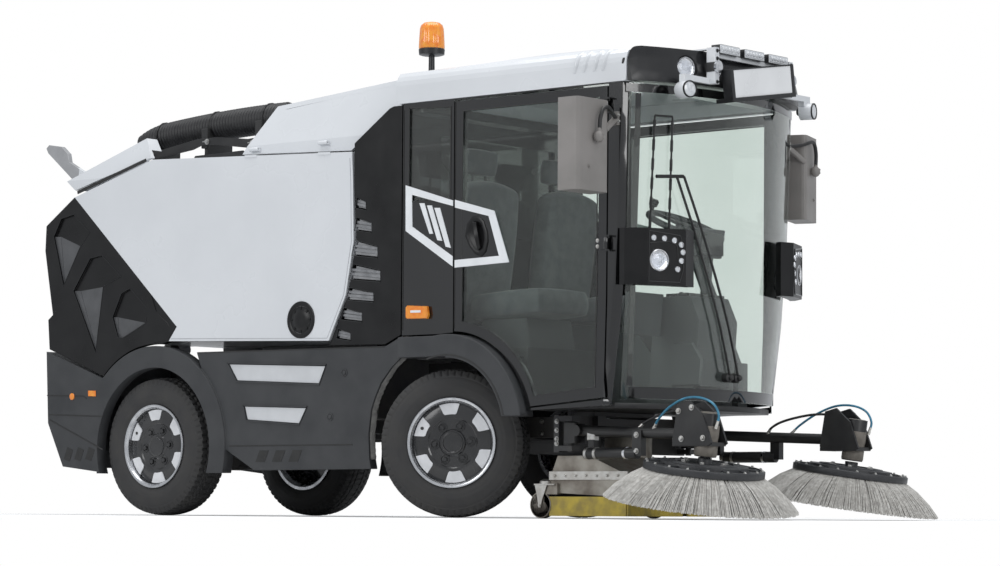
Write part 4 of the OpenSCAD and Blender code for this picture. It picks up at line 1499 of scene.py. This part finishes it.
outline = [
    (0.012, 1.192), (0.030, 1.252), (0.188, 1.268), (0.190, 1.045), (0.032, 1.045),
    (0.014, 1.10), (0.012, 1.192)
]
for a, b in zip(outline, outline[1:]):
    pod_bar(a, b, 0.0028)
for a, b in (
    ((0.045, 1.205), (0.092, 1.224)), ((0.092, 1.224), (0.185, 1.214)),
    ((0.045, 1.205), (0.040, 1.10))
):
    pod_bar(a, b, 0.0022)
pair_from(pod_trim, "headlamp_trim", gloss_black, both_chassis)

# ---------------------------------------------------------------- lower panels
# Fenders, skirts and the rear bumper are coarse grained dark grey mouldings with
# pressed grooves and raised frames; the grooves are painted shade, thin black strips
# laid on the moulding. A fibrous rubber flap hangs inside the arch.

skirt_grey = finish(
    "grained dark grey moulding", (
        0.034, 0.036, 0.039
    ), (0.050, 0.052, 0.055), 0.50, 0.14, 7, 420, 0.00022,
    Specular_IOR_Level=0.35
)
insert_pale = finish(
    "pale pressed insert", (
        0.60, 0.615, 0.635
    ), (0.54, 0.555, 0.575), 0.32, 0.10, 8, 460, 0.00008
)
flap_rubber = finish(
    "fibrous rubber flap", (
        0.085, 0.083, 0.080
    ), (0.14, 0.138, 0.132), 0.85, 0.1, 40, 160, 0.002
)
cover("front_fenders", skirt_grey, 0.012)
cover("side_skirts", skirt_grey, 0.004)
cover("rear_bumper", skirt_grey, 0.004)
insert = bmesh.new()
slab(
    insert, [(-0.873, 0.7395), (-0.237, 0.7145), (-0.277, 0.6355), (-0.817, 0.6610)], -0.648,
    -0.6515, 0.001
)
slab(
    insert, [(-0.765, 0.5315), (-0.356, 0.517), (-0.404, 0.4465), (-0.746, 0.4695)], -0.648,
    -0.6515, 0.001
)
pair_from(insert, "skirt_inserts", insert_pale, both_chassis)
frames = bmesh.new()
strip(
    frames,
    [(-0.885, 0.748), (-0.226, 0.722), (-0.270, 0.628), (-0.823, 0.654), (-0.885, 0.748)],
    0.007, -0.6535, -0.6585
)
strip(
    frames,
    [(-0.774, 0.539), (-0.348, 0.524), (-0.400, 0.439), (-0.753, 0.463), (-0.774, 0.539)],
    0.007, -0.6535, -0.6585
)
for x, z in ((-0.109, 0.681), (-0.198, 0.474)):
    turned(
        frames, [(-0.001, 0.019), (0.003, 0.019), (0.004, 0.015), (0.001, 0.013)],
        (x, -0.655, z), (0, -1, 0), 30
    )
    turned(
        frames, [(-0.001, 0.010), (0.004, 0.010), (0.005, 0.007)], (x, -0.655, z), (0, -1, 0),
        24
    )
pair_from(frames, "skirt_frames", skirt_grey, both_chassis)
# painted shade: the skirt's pressed grooves are thin black strips laid on the grey moulding,
# darker than the moulding they are pressed into
painted_groove_shade = bmesh.new()
strip(painted_groove_shade, [(-0.868, 0.341), (-0.053, 0.341)], 0.006, -0.6548, -0.6562)
strip(painted_groove_shade, [(-1.09, 0.8025), (0.146, 0.7965)], 0.005, -0.6548, -0.6562)
for x in (-0.66, -0.55, -0.44):
    slab(
        painted_groove_shade, [(x, 0.318), (x + 0.062, 0.318), (x + 0.034, 0.262), (x - 0.028, 0.262)],
        -0.6548, -0.6562
    )
pair_from(painted_groove_shade, "skirt_painted_groove_shade", seal_and_shade_black, both_chassis)
flap = bmesh.new()
flap_path = [
    (0.262, 0.842), (0.262, 0.752), (0.190, 0.694), (0.128, 0.624), (0.090, 0.556),
    (0.068, 0.500), (0.054, 0.386), (0.062, 0.270)
]
rows = []
noise = random.Random(5)
for k in range(57):
    place = k / 56 * (len(flap_path) - 1)
    i = min(int(place), len(flap_path) - 2)
    a, b = Vector(flap_path[i]), Vector(flap_path[i + 1])
    p = a.lerp(b, place - i)
    fringe = 0.016 + 0.006 * noise.random()
    rows.append([
        flap.verts.new((p.x - 0.006, -0.6465, p.y + 0.001)),
        flap.verts.new(
            (p.x + fringe, -0.6400 + 0.003 * noise.random(), p.y + 0.004 * noise.random())
        ),
        flap.verts.new((p.x + fringe, -0.6360, p.y)),
        flap.verts.new((p.x - 0.006, -0.6400, p.y - 0.001)),
    ])
for a, b in zip(rows, rows[1:]):
    for i in range(4):
        flap.faces.new((a[i], a[(i + 1) % 4], b[(i + 1) % 4], b[i]))
flap.faces.new(rows[0])
flap.faces.new(list(reversed(rows[-1])))
pair_from(flap, "arch_flap", flap_rubber, both_chassis, 80)
# painted shade: the bumper's pressed grooves are thin black strips laid on the grey moulding
bumper_groove_shade = bmesh.new()
strip(bumper_groove_shade, [(-2.178, 0.612), (-1.905, 0.604), (-1.880, 0.590)], 0.006, -0.6605, -0.6622)
strip(bumper_groove_shade, [(-2.170, 0.514), (-1.760, 0.498)], 0.006, -0.6605, -0.6622)
strip(bumper_groove_shade, [(-2.156, 0.487), (-1.756, 0.330)], 0.007, -0.6605, -0.6622)
for x in (-2.02, -1.94, -1.86):
    slab(
        bumper_groove_shade, [(x, 0.345), (x + 0.044, 0.330), (x + 0.018, 0.272), (x - 0.026, 0.284)],
        -0.6605, -0.6622
    )
pair_from(bumper_groove_shade, "bumper_painted_groove_shade", seal_and_shade_black, both_chassis)
reflector = bmesh.new()
slab(
    reflector, [(-1.868, 0.632), (-1.812, 0.630), (-1.810, 0.600), (-1.866, 0.602)], -0.660,
    -0.6665, 0.003
)
turned(
    reflector, [(-0.001, 0.017), (0.004, 0.017), (0.006, 0.013), (0.006, 0.0006)],
    (-1.988, -0.661, 0.603), (0, -1, 0), 26
)
pair_from(reflector, "side_reflector", amber, both_chassis)
fender_edge = bmesh.new()
for k in range(24):
    a0, a1 = (math.radians(12 + 96 * j / 24) for j in (k, k + 1))
    inner, outer = 0.352, 0.360
    slab(
        fender_edge,
        [
            (0.555 + inner * math.cos(a0), 0.390 + inner * math.sin(a0)),
            (0.555 + outer * math.cos(a0), 0.390 + outer * math.sin(a0)),
            (0.555 + outer * math.cos(a1), 0.390 + outer * math.sin(a1)),
            (0.555 + inner * math.cos(a1), 0.390 + inner * math.sin(a1))
        ],
        -0.6998, -0.7012
    )
pair_from(fender_edge, "fender_line", seal_and_shade_black, both_chassis)

# ---------------------------------------------------------------- side vents
# Satin black corner panels between cab and hopper, with seven slanting slots.
# Grey pressed louvres stand inside every slot.

cover("vent_panels", satin_black, 0.003)
louvre_grey = finish(
    "grey pressed louvre", (
        0.20, 0.205, 0.215
    ), (0.28, 0.285, 0.295), 0.34, 0.12, 30, 400, 0.0002, Metallic=0.4
)
louvres, vent_plates = bmesh.new(), bmesh.new()
vent_rows = (
    (
        -0.013, 1.477, 0.067, 0.066
    ), (0.003, 1.375, 0.110, 0.080), (0.014, 1.261, 0.165, 0.094), (0.015, 1.148, 0.200, 0.094),
    (-0.016, 1.046, 0.177, 0.078), (-0.067, 0.954, 0.135, 0.076), (-0.117, 0.861, 0.092, 0.062),
)
for x, z, width, height in vent_rows:
    plate = [
        (x - width * 0.46, z - height * 0.22), (x + width * 0.47, z - height * 0.42),
        (x + width * 0.47, z + height * 0.06), (x - width * 0.34, z + height * 0.42)
    ]
    slab(vent_plates, plate, -0.614, -0.640, 0.004)
    for k, share in enumerate((0.30, 0.58)):
        low, high = z - height * 0.28 + height * 0.74 * share, 0.012
        slope = -0.22 * height
        left, right = x - width * (0.48 - 0.10 * share), x + width * 0.49
        a = [(left, low), (right, low + slope), (right, low + slope + high), (left, low + high)]
        slab(louvres, a, -0.616, -0.648)
vent_grey = finish(
    "pale vent plate", (0.27, 0.275, 0.285), (0.38, 0.385, 0.395), 0.36, 0.12, 14, 500, 0.0001
)
pair_from(vent_plates, "vent_plates", vent_grey, both_chassis)
pair_from(louvres, "vent_louvres", louvre_grey, both_chassis)
vent_edges = bmesh.new()
for x, z, width, height in vent_rows:
    corners = [
        (x - width / 2, z - height * 0.28), (x + width / 2, z - height / 2),
        (x + width / 2, z + height * 0.1), (x - width * 0.36, z + height / 2)
    ]
    strip(vent_edges, [*corners, corners[0]], 0.003, -0.6548, -0.6566)
pair_from(vent_edges, "vent_edges", gloss_black, both_chassis)

# ---------------------------------------------------------------- hopper
# A folded, painted steel bin with white sides and a black moulded rear quarter,
# screwed on. Its round filler cap and two lifting tabs sit on the right side.

cover("hopper_bin", white_paint, 0.004)
cover("rear_moulding", satin_black, 0.003)
both_hopper = ("hopper", "hopper")
facets = bmesh.new()
for corners in (
    [(-2.151, 1.431), (-2.106, 1.429), (-2.073, 1.174)],
    [(-1.998, 1.145), (-1.953, 1.143), (-1.826, 0.825)],
    [(-1.705, 1.000), (-1.675, 0.999), (-1.665, 0.898)],
):
    slab(facets, corners, -0.6425, -0.6455)
for corners in (
    [(-2.106, 1.429), (-1.990, 1.385), (-1.950, 1.369), (-2.073, 1.174)],
    [(-1.953, 1.143), (-1.775, 1.158), (-1.826, 0.825)],
    [(-1.675, 0.999), (-1.463, 0.962), (-1.626, 0.892), (-1.665, 0.898)],
):
    slab(facets, corners, -0.6425, -0.6438)
recess_grey = finish(
    "grey recess edge", (0.085, 0.087, 0.092), (0.065, 0.067, 0.071), 0.36, 0.1, 12, 500, 0.0001
)
pair_from(facets, "moulding_facets", recess_grey, both_hopper)
lips = bmesh.new()
for corners in (
    [
        (-2.151, 1.431), (-2.096, 1.522), (-2.001, 1.539), (-1.880, 1.440), (-1.950, 1.369),
        (-2.073, 1.174)
    ],
    [
        (-1.998, 1.145), (-1.875, 1.307), (-1.788, 1.319), (-1.645, 1.203), (-1.775, 1.158),
        (-1.826, 0.825)
    ],
    [
        (-1.705, 1.000), (-1.640, 1.119), (-1.579, 1.142), (-1.453, 1.036), (-1.463, 0.962),
        (-1.626, 0.892), (-1.665, 0.898)
    ],
):
    strip(lips, [*corners, corners[0]], 0.003, -0.6545, -0.6562)
pair_from(lips, "moulding_lips", visor_black, both_hopper)
tongue = bmesh.new()
slab(
    tongue,
    [
        (-1.423, 1.102), (-1.386, 1.017), (-1.303, 0.956), (-1.291, 0.936), (-1.239, 0.938),
        (-1.302, 0.870), (-1.40, 0.86), (-1.47, 1.02)
    ],
    -0.6535, -0.6575, 0.002
)
pair_from(tongue, "seam_tongue", satin_black, both_hopper)
cap = bmesh.new()
slab(
    cap, [(-0.70, 1.7560), (-0.78, 1.7595), (-0.78, 1.7480), (-0.70, 1.7445)], -0.655, -0.6592,
    0.002
)
slab(
    cap, [(-0.21, 1.7370), (-0.29, 1.7400), (-0.29, 1.7270), (-0.21, 1.7240)], -0.655, -0.6592,
    0.002
)
pair_from(cap, "shell_tabs", white_paint, both_hopper)
filler = bmesh.new()
turned(
    filler,
    [
        (-0.001, 0.090), (0.0035, 0.089), (0.0055, 0.082), (0.0045, 0.070), (0.002, 0.066),
        (-0.001, 0.066)
    ],
    (-0.393, -0.655, 0.941), (0, -1, 0), 56
)
turned(
    filler,
    [
        (-0.001, 0.0655), (0.0015, 0.065), (0.0025, 0.050), (0.0055, 0.046), (0.0060, 0.020),
        (0.0045, 0.0006), (-0.001, 0.0006)
    ],
    (-0.393, -0.655, 0.941), (0, -1, 0), 56
)
for k in range(8):
    turn = math.tau * k / 8
    slab(
        filler,
        [
            (-0.393 + r * math.cos(turn + d), 0.941 + r * math.sin(turn + d))
            for r, d in ((0.050, -0.10), (0.062, -0.08), (0.062, 0.08), (0.050, 0.10))
        ],
        -0.6565, -0.6600, 0.0008
    )
piece_from(filler, "filler_cap", satin_black, "hopper", 40)
edge_line = bmesh.new()
strip(
    edge_line,
    [
        (-0.085, 1.70), (-0.078, 1.59), (-0.071, 1.30), (-0.118, 1.05), (-0.222, 0.848),
        (-1.28, 0.8775)
    ],
    0.0028, -0.6545, -0.6558
)
shell_line = finish(
    "shell edge shadow", (0.33, 0.34, 0.355), (0.40, 0.41, 0.425), 0.4, 0.1, 10, 500, 0.0001
)
pair_from(edge_line, "shell_edge_line", shell_line, both_hopper)

# ---------------------------------------------------------------- hopper top
# The white rear cover carries two pale wings. A ribbed black wander hose lies
# along the roof in a black clamp with a steel wing bolt, beside the hinged lid.

cover("rear_cover", white_paint, 0.005)
cover("top_cover", white_paint, 0.006)
cover("rear_door", satin_black, 0.004)
hose_black = finish(
    "ribbed hose rubber", (
        0.010, 0.010, 0.011
    ), (0.019, 0.019, 0.020), 0.42, 0.12, 14, 500, 0.0003
)
hose = bmesh.new()
hose_rings = []
turns = 50
steps_per_rib = 6
hose_steps = turns * steps_per_rib
for k in range(hose_steps + 1):
    share = k / hose_steps
    phase = (k % steps_per_rib) / steps_per_rib
    r = 0.0685 + 0.0060 * (0.5 - 0.5 * math.cos(math.tau * phase)) ** 0.6
    tail = max(0.0, share - 0.80) / 0.20
    slope = 0.113 * share + 0.42 * tail * tail
    mid = Vector((-0.880 - 1.019 * share, -0.235, 2.000 - 0.058 * share**2 - 0.030 * tail**3))
    out = Vector((-math.sin(slope), 0, math.cos(slope)))
    hose_rings.append([
        hose.verts.new(
            mid + (
                out * math.cos(
                    math.tau * j / 44
                ) + Vector((0, 1, 0)) * math.sin(math.tau * j / 44)
            ) * r
        )
        for j in range(44)
    ])
for a, b in zip(hose_rings, hose_rings[1:]):
    for j in range(44):
        hose.faces.new((a[j], a[(j + 1) % 44], b[(j + 1) % 44], b[j]))
hose.faces.new(hose_rings[0])
hose.faces.new(list(reversed(hose_rings[-1])))
ribbed = piece_from(hose, "ribbed_wander_hose", hose_black, "hopper", 80)
hose_clamps = bmesh.new()
for x, z_low, z_hose in ((-1.0, 1.739, 1.999), (-1.38, 1.7535, 1.986), (-1.76, 1.663, 1.957)):
    slab(
        hose_clamps,
        [
            (x - 0.010, z_low + 0.001), (x + 0.010, z_low), (x + 0.010, z_hose - 0.03),
            (x - 0.010, z_hose - 0.03)
        ],
        -0.325, -0.145, 0.002
    )
    for k in range(16):
        a0, a1 = (math.tau * j / 16 for j in (k, k + 1))
        p0 = (x, -0.235 + 0.0765 * math.cos(a0), z_hose + 0.0765 * math.sin(a0))
        p1 = (x, -0.235 + 0.0765 * math.cos(a1), z_hose + 0.0765 * math.sin(a1))
        rod(hose_clamps, p0, p1, 0.004, 6)
    brick(
        hose_clamps, (x - 0.022, -0.338, z_hose - 0.12), (x + 0.022, -0.318, z_hose - 0.02),
        0.003
    )
slab(
    hose_clamps,
    [
        (-1.78, 1.845), (-1.72, 1.835), (-1.46, 1.862), (-1.40, 1.880), (-1.30, 1.878),
        (-1.06, 1.845), (-0.98, 1.850), (-0.98, 1.895), (-1.06, 1.890), (-1.28, 1.915),
        (-1.42, 1.915), (-1.72, 1.872), (-1.78, 1.880)
    ],
    -0.348, -0.338, 0.002
)
slab(
    hose_clamps,
    [
        (-1.50, 1.737), (-1.44, 1.754), (-1.06, 1.7425), (-1.02, 1.80), (-1.10, 1.835),
        (-1.44, 1.83)
    ],
    -0.346, -0.338, 0.002
)
piece_from(hose_clamps, "hose_clamps", black_powder, "hopper")
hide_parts("wander_hose")
wing_bolt = bmesh.new()
for x, z in ((-1.03, 1.868), (-1.35, 1.896), (-1.75, 1.857)):
    bolt(wing_bolt, (x, -0.348, z), (0, -1, 0), 0.010)
    rod(wing_bolt, (x - 0.020, -0.360, z), (x + 0.020, -0.360, z), 0.003, 8)
piece_from(wing_bolt, "hose_wing_bolts", steel_bolt, "hopper")
wings = bmesh.new()
wing_outline = [
    (-2.108, 1.7195), (-2.151, 1.7385), (-2.3415, 1.8895), (-2.3555, 1.9155), (-2.335, 1.9315),
    (-2.2395, 1.9165), (-2.1885, 1.8760), (-2.1785, 1.8310), (-2.100, 1.7895)
]
slab(wings, wing_outline, -0.5038, -0.5312, 0.002)
wing_grey = finish(
    "grey wing plate", (0.34, 0.345, 0.355), (0.29, 0.295, 0.305), 0.4, 0.1, 12, 500, 0.0001
)
pair_from(wings, "cover_wings", wing_grey, both_hopper)
cover_gap = bmesh.new()
strip(cover_gap, [(-2.02, 1.655), (-1.515, 1.790)], 0.016, -0.6125, -0.6155)
pair_from(cover_gap, "cover_shadow_gap", seal_and_shade_black, both_hopper)
lid_handle = bmesh.new()
rod(lid_handle, (-0.42, -0.25, 2.024), (-0.42, -0.25, 2.050), 0.006, 10)
rod(lid_handle, (-0.42, 0.25, 2.024), (-0.42, 0.25, 2.050), 0.006, 10)
rod(lid_handle, (-0.42, -0.255, 2.047), (-0.42, 0.255, 2.047), 0.006, 10)
piece_from(lid_handle, "lid_handle", black_powder, "roof_lid")
# a folded liner closes each sloping side of the lid behind its upper fold
lid_liner = bmesh.new()
liner_outline = ((-0.66, 1.972), (0.178, 2.050), (0.168, 1.972))
for side in (-1, 1):
    outer, inner = (
        [
            lid_liner.verts.new((x, side * (0.606 - (z - 1.810) * 66 / 280 - depth), z))
            for x, z in liner_outline
        ]
        for depth in (0.0003, 0.0035)
    )
    lid_liner.faces.new(outer)
    lid_liner.faces.new(inner[::-1])
    for i in range(3):
        lid_liner.faces.new((outer[i], outer[i - 1], inner[i - 1], inner[i]))
piece_from(lid_liner, "lid_liner", white_paint, "roof_lid")
door_latch = bmesh.new()
rod(door_latch, (-2.168, -0.20, 1.12), (-2.195, -0.20, 1.12), 0.007, 10)
rod(door_latch, (-2.168, 0.20, 1.12), (-2.195, 0.20, 1.12), 0.007, 10)
rod(door_latch, (-2.193, -0.205, 1.12), (-2.193, 0.205, 1.12), 0.007, 10)
piece_from(door_latch, "rear_door_handle", black_powder, "tail_door")

# ---------------------------------------------------------------- brooms
# Each broom hangs from a swing post by a painted arm with a hydraulic cylinder
# under it. A motor in two side plates turns a ribbed disc, and hoses feed it.

for side in ("right", "left"):
    cover("broom_pivot_" + side, black_powder, 0.003)
    cover("broom_arm_" + side, black_powder, 0.003)
disc_plastic = finish(
    "black disc moulding", (
        0.020, 0.021, 0.024
    ), (0.032, 0.033, 0.036), 0.40, 0.12, 9, 420, 0.0003
)
for side in ("right", "left"):
    cover("broom_disc_" + side, disc_plastic, 0.004)
chrome = finish(
    "chromed rod", (
        0.75, 0.76, 0.78
    ), (0.66, 0.67, 0.69), 0.10, 0.1, 20, 400, 0.00005, Metallic=1.0
)
motor_grey = finish(
    "cast motor body", (
        0.16, 0.145, 0.125
    ), (0.22, 0.20, 0.175), 0.5, 0.12, 30, 260, 0.0009, Metallic=0.3
)
both_arms = ("arm_right", "arm_left")
both_brooms = ("broom_right", "broom_left")
arm_metal = bmesh.new()
turned(
    arm_metal,
    [
        (0.0, 0.0275), (0.012, 0.0275), (0.014, 0.022), (0.050, 0.022), (0.052, 0.0275),
        (0.066, 0.0275)
    ],
    (1.245, -0.5225, 0.292), (300, -13, 0), 32
)
brick(arm_metal, (1.228, -0.5035, 0.352), (1.274, -0.4690, 0.398), 0.004)
for x, z in ((1.545, 0.300), (1.545, 0.372)):
    bolt(arm_metal, (x, -0.5525, z), (0, -1, 0), 0.009)
for x, z in ((1.835, 0.470), (1.905, 0.485), (1.850, 0.350), (1.965, 0.352)):
    bolt(arm_metal, (x, -0.634, z), (0, -1, 0), 0.009)
pair_from(arm_metal, "arm_fittings", steel_bolt, both_arms)
rod_end = bmesh.new()
rod(rod_end, (1.480, -0.5325, 0.292), (1.530, -0.5345, 0.292), 0.015)
turned(
    rod_end, [(0, 0.024), (0.010, 0.0275), (0.020, 0.0275), (0.022, 0.018)],
    (1.462, -0.5318, 0.292), (300, -13, 0), 32
)
pair_from(rod_end, "arm_rod", chrome, both_arms)
tilt = Matrix.Translation((1.925, -0.572, 0.205)) @ Matrix.Rotation(
    math.radians(8), 4, "Y"
) @ Matrix.Rotation(math.radians(2), 4, "X")
motor = bmesh.new()
turned(
    motor,
    [
        (0.074, 0.049), (0.078, 0.0505), (0.118, 0.0505), (0.122, 0.0488), (0.150, 0.0488),
        (0.154, 0.0505), (0.205, 0.0505), (0.210, 0.044), (0.259, 0.044), (0.262, 0.036)
    ],
    (0, 0, 0), (0, 0, 1), 40
)
motor = placed(motor, tilt)
pair_from(motor, "broom_motor", motor_grey, both_arms, 40)
disc_trim = bmesh.new()
turned(
    disc_trim, [(0.0255, 0.262), (0.030, 0.258), (0.030, 0.246), (0.0255, 0.242)], (0, 0, 0),
    (0, 0, 1), 72
)
turned(
    disc_trim, [(0.0385, 0.150), (0.045, 0.146), (0.045, 0.128), (0.0385, 0.124)], (0, 0, 0),
    (0, 0, 1), 64
)
for k in range(12):
    turn = math.tau * k / 12
    across = Matrix.Rotation(turn, 4, "Z")
    rib = bmesh.new()
    brick(rib, (0.192, -0.004, 0.0245), (0.243, 0.004, 0.032), 0.001)
    rib = placed(rib, across)
    copy = bpy.data.meshes.new("rib")
    rib.to_mesh(copy)
    rib.free()
    disc_trim.from_mesh(copy)
    bpy.data.meshes.remove(copy)
disc_trim = placed(disc_trim, tilt)
pair_from(disc_trim, "disc_ribs", disc_plastic, both_brooms, 40)
disc_bolts = bmesh.new()
for k in range(6):
    turn = math.tau * k / 6
    bolt(disc_bolts, (0.100 * math.cos(turn), 0.100 * math.sin(turn), 0.039), (0, 0, 1), 0.010)
for k in range(18):
    turn = math.tau * (k + 0.5) / 18
    bolt(
        disc_bolts, (0.252 * math.cos(turn), 0.252 * math.sin(turn), 0.0295), (0, 0, 1), 0.0055
    )
disc_bolts = placed(disc_bolts, tilt)
pair_from(disc_bolts, "disc_bolts", steel_bolt, both_brooms)

bristle_grey = finish(
    "nylon bristle", (0.60, 0.59, 0.56), (0.40, 0.385, 0.36), 0.5, 0.2, 60, 300, 0.0002
)
bristle_core = finish(
    "packed bristle", (0.30, 0.29, 0.27), (0.19, 0.182, 0.168), 0.8, 0.1, 140, 420, 0.002
)
core = bmesh.new()
turned(
    core,
    [
        (-0.002, 0.180), (-0.002, 0.255), (-0.050, 0.315), (-0.128, 0.398), (-0.136, 0.398),
        (-0.136, 0.376), (-0.116, 0.300), (-0.058, 0.212)
    ],
    (0, 0, 0), (0, 0, 1), 72
)
core = placed(core, tilt)
pair_from(core, "bristle_core", bristle_core, both_brooms, 60)
strands = bmesh.new()
wave = random.Random(11)
for k in range(2300):
    turn = math.tau * (k + wave.random()) / 2300
    layer = wave.random()
    sway = 0.035 * (wave.random() - 0.5)
    reach = 0.402 + 0.024 * layer
    drop = -0.1415 + 0.006 * wave.random()
    path = [
        (0.242 + 0.016 * layer, -0.0015, 0.0),
        (0.292 + 0.026 * layer, -0.040 + 0.004 * layer, 0.25),
        (0.358 + 0.024 * layer, -0.094 + 0.005 * layer, 0.6),
        (reach, drop, 1.0),
    ]
    thick = 0.0013 + 0.0008 * wave.random()
    rings = []
    for r, z, share in path:
        angle = turn + sway * share
        middle = Vector((r * math.cos(angle), r * math.sin(angle), z))
        side = Vector((-math.sin(angle), math.cos(angle), 0)) * thick
        lift = Vector((math.cos(angle) * 0.6, math.sin(angle) * 0.6, 0.8)) * thick
        rings.append(
            [
                strands.verts.new(middle + side), strands.verts.new(middle - side),
                strands.verts.new(middle + lift)
            ]
        )
    for a, b in zip(rings, rings[1:]):
        for i in range(3):
            strands.faces.new((a[i], a[(i + 1) % 3], b[(i + 1) % 3], b[i]))
    strands.faces.new(rings[-1])
strands = placed(strands, tilt)
left_strands = mirrored(strands)
for side, mesh in (("right", strands), ("left", left_strands)):
    brush = bpy.data.meshes.new("bristle_strands_" + side)
    mesh.to_mesh(brush)
    mesh.free()
    brush.materials.append(bristle_grey)
    ring = bpy.data.objects.new("bristle_strands_" + side, brush)
    scene.collection.objects.link(ring)
    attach(ring, "broom_" + side)
    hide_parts("bristles_" + side)

# ---------------------------------------------------------------- broom hoses
# Two rubber hydraulic hoses run from the ports on each arm's tube over to its
# broom motor: a blue one in a high loop, and a black one lower down beside it.

hose_blue = finish(
    "blue hose rubber", (
        0.03, 0.22, 0.36
    ), (0.02, 0.15, 0.25), 0.34, 0.12, 30, 500, 0.0001, Coat_Weight=0.3
)
fitting_steel = finish(
    "plated hose fitting", (
        0.66, 0.65, 0.61
    ), (0.50, 0.49, 0.46), 0.22, 0.15, 40, 500, 0.0001, Metallic=0.95
)
hose_lines = (
    (
        "blue", hose_blue, 0.0105,
        [
            (1.630, -0.535, 0.4035), (1.665, -0.550, 0.440), (1.740, -0.572, 0.490),
            (1.835, -0.588, 0.526), (1.925, -0.597, 0.527), (1.995, -0.600, 0.500),
            (2.025, -0.600, 0.450), (2.012, -0.600, 0.404)
        ],
    ),
    (
        "black", hose_black, 0.0115,
        [
            (1.520, -0.500, 0.4045), (1.545, -0.492, 0.428), (1.600, -0.486, 0.452),
            (1.680, -0.490, 0.472), (1.770, -0.505, 0.486), (1.850, -0.525, 0.484),
            (1.905, -0.548, 0.462), (1.935, -0.560, 0.4235)
        ],
    ),
)
for side, sign, body in (("right", 1, "arm_right"), ("left", -1, "arm_left")):
    for colour, material, thick, path in hose_lines:
        points = [(x, sign * y, z) for x, y, z in path]
        line_hose, centre_line = pipe(
            "broom_hose_%s_%s" % (colour, side), points, thick / 2, material, body,
            sides=12
        )
        fittings = bmesh.new()
        for end, inner in (
            (centre_line[0], centre_line[3]), (centre_line[-1], centre_line[-4])
        ):
            end, inner = Vector(end), Vector(inner)
            way = (inner - end).normalized()
            turned(
                fittings,
                [
                    (-0.012, thick * 0.75), (0.004, thick * 0.75), (0.005, thick * 0.62),
                    (0.022, thick * 0.60), (0.023, thick * 0.52)
                ],
                end, way, 18
            )
        fitting = piece_from(
            fittings, "hose_fittings_%s_%s" % (colour, side), fitting_steel, body
        )

low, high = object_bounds()
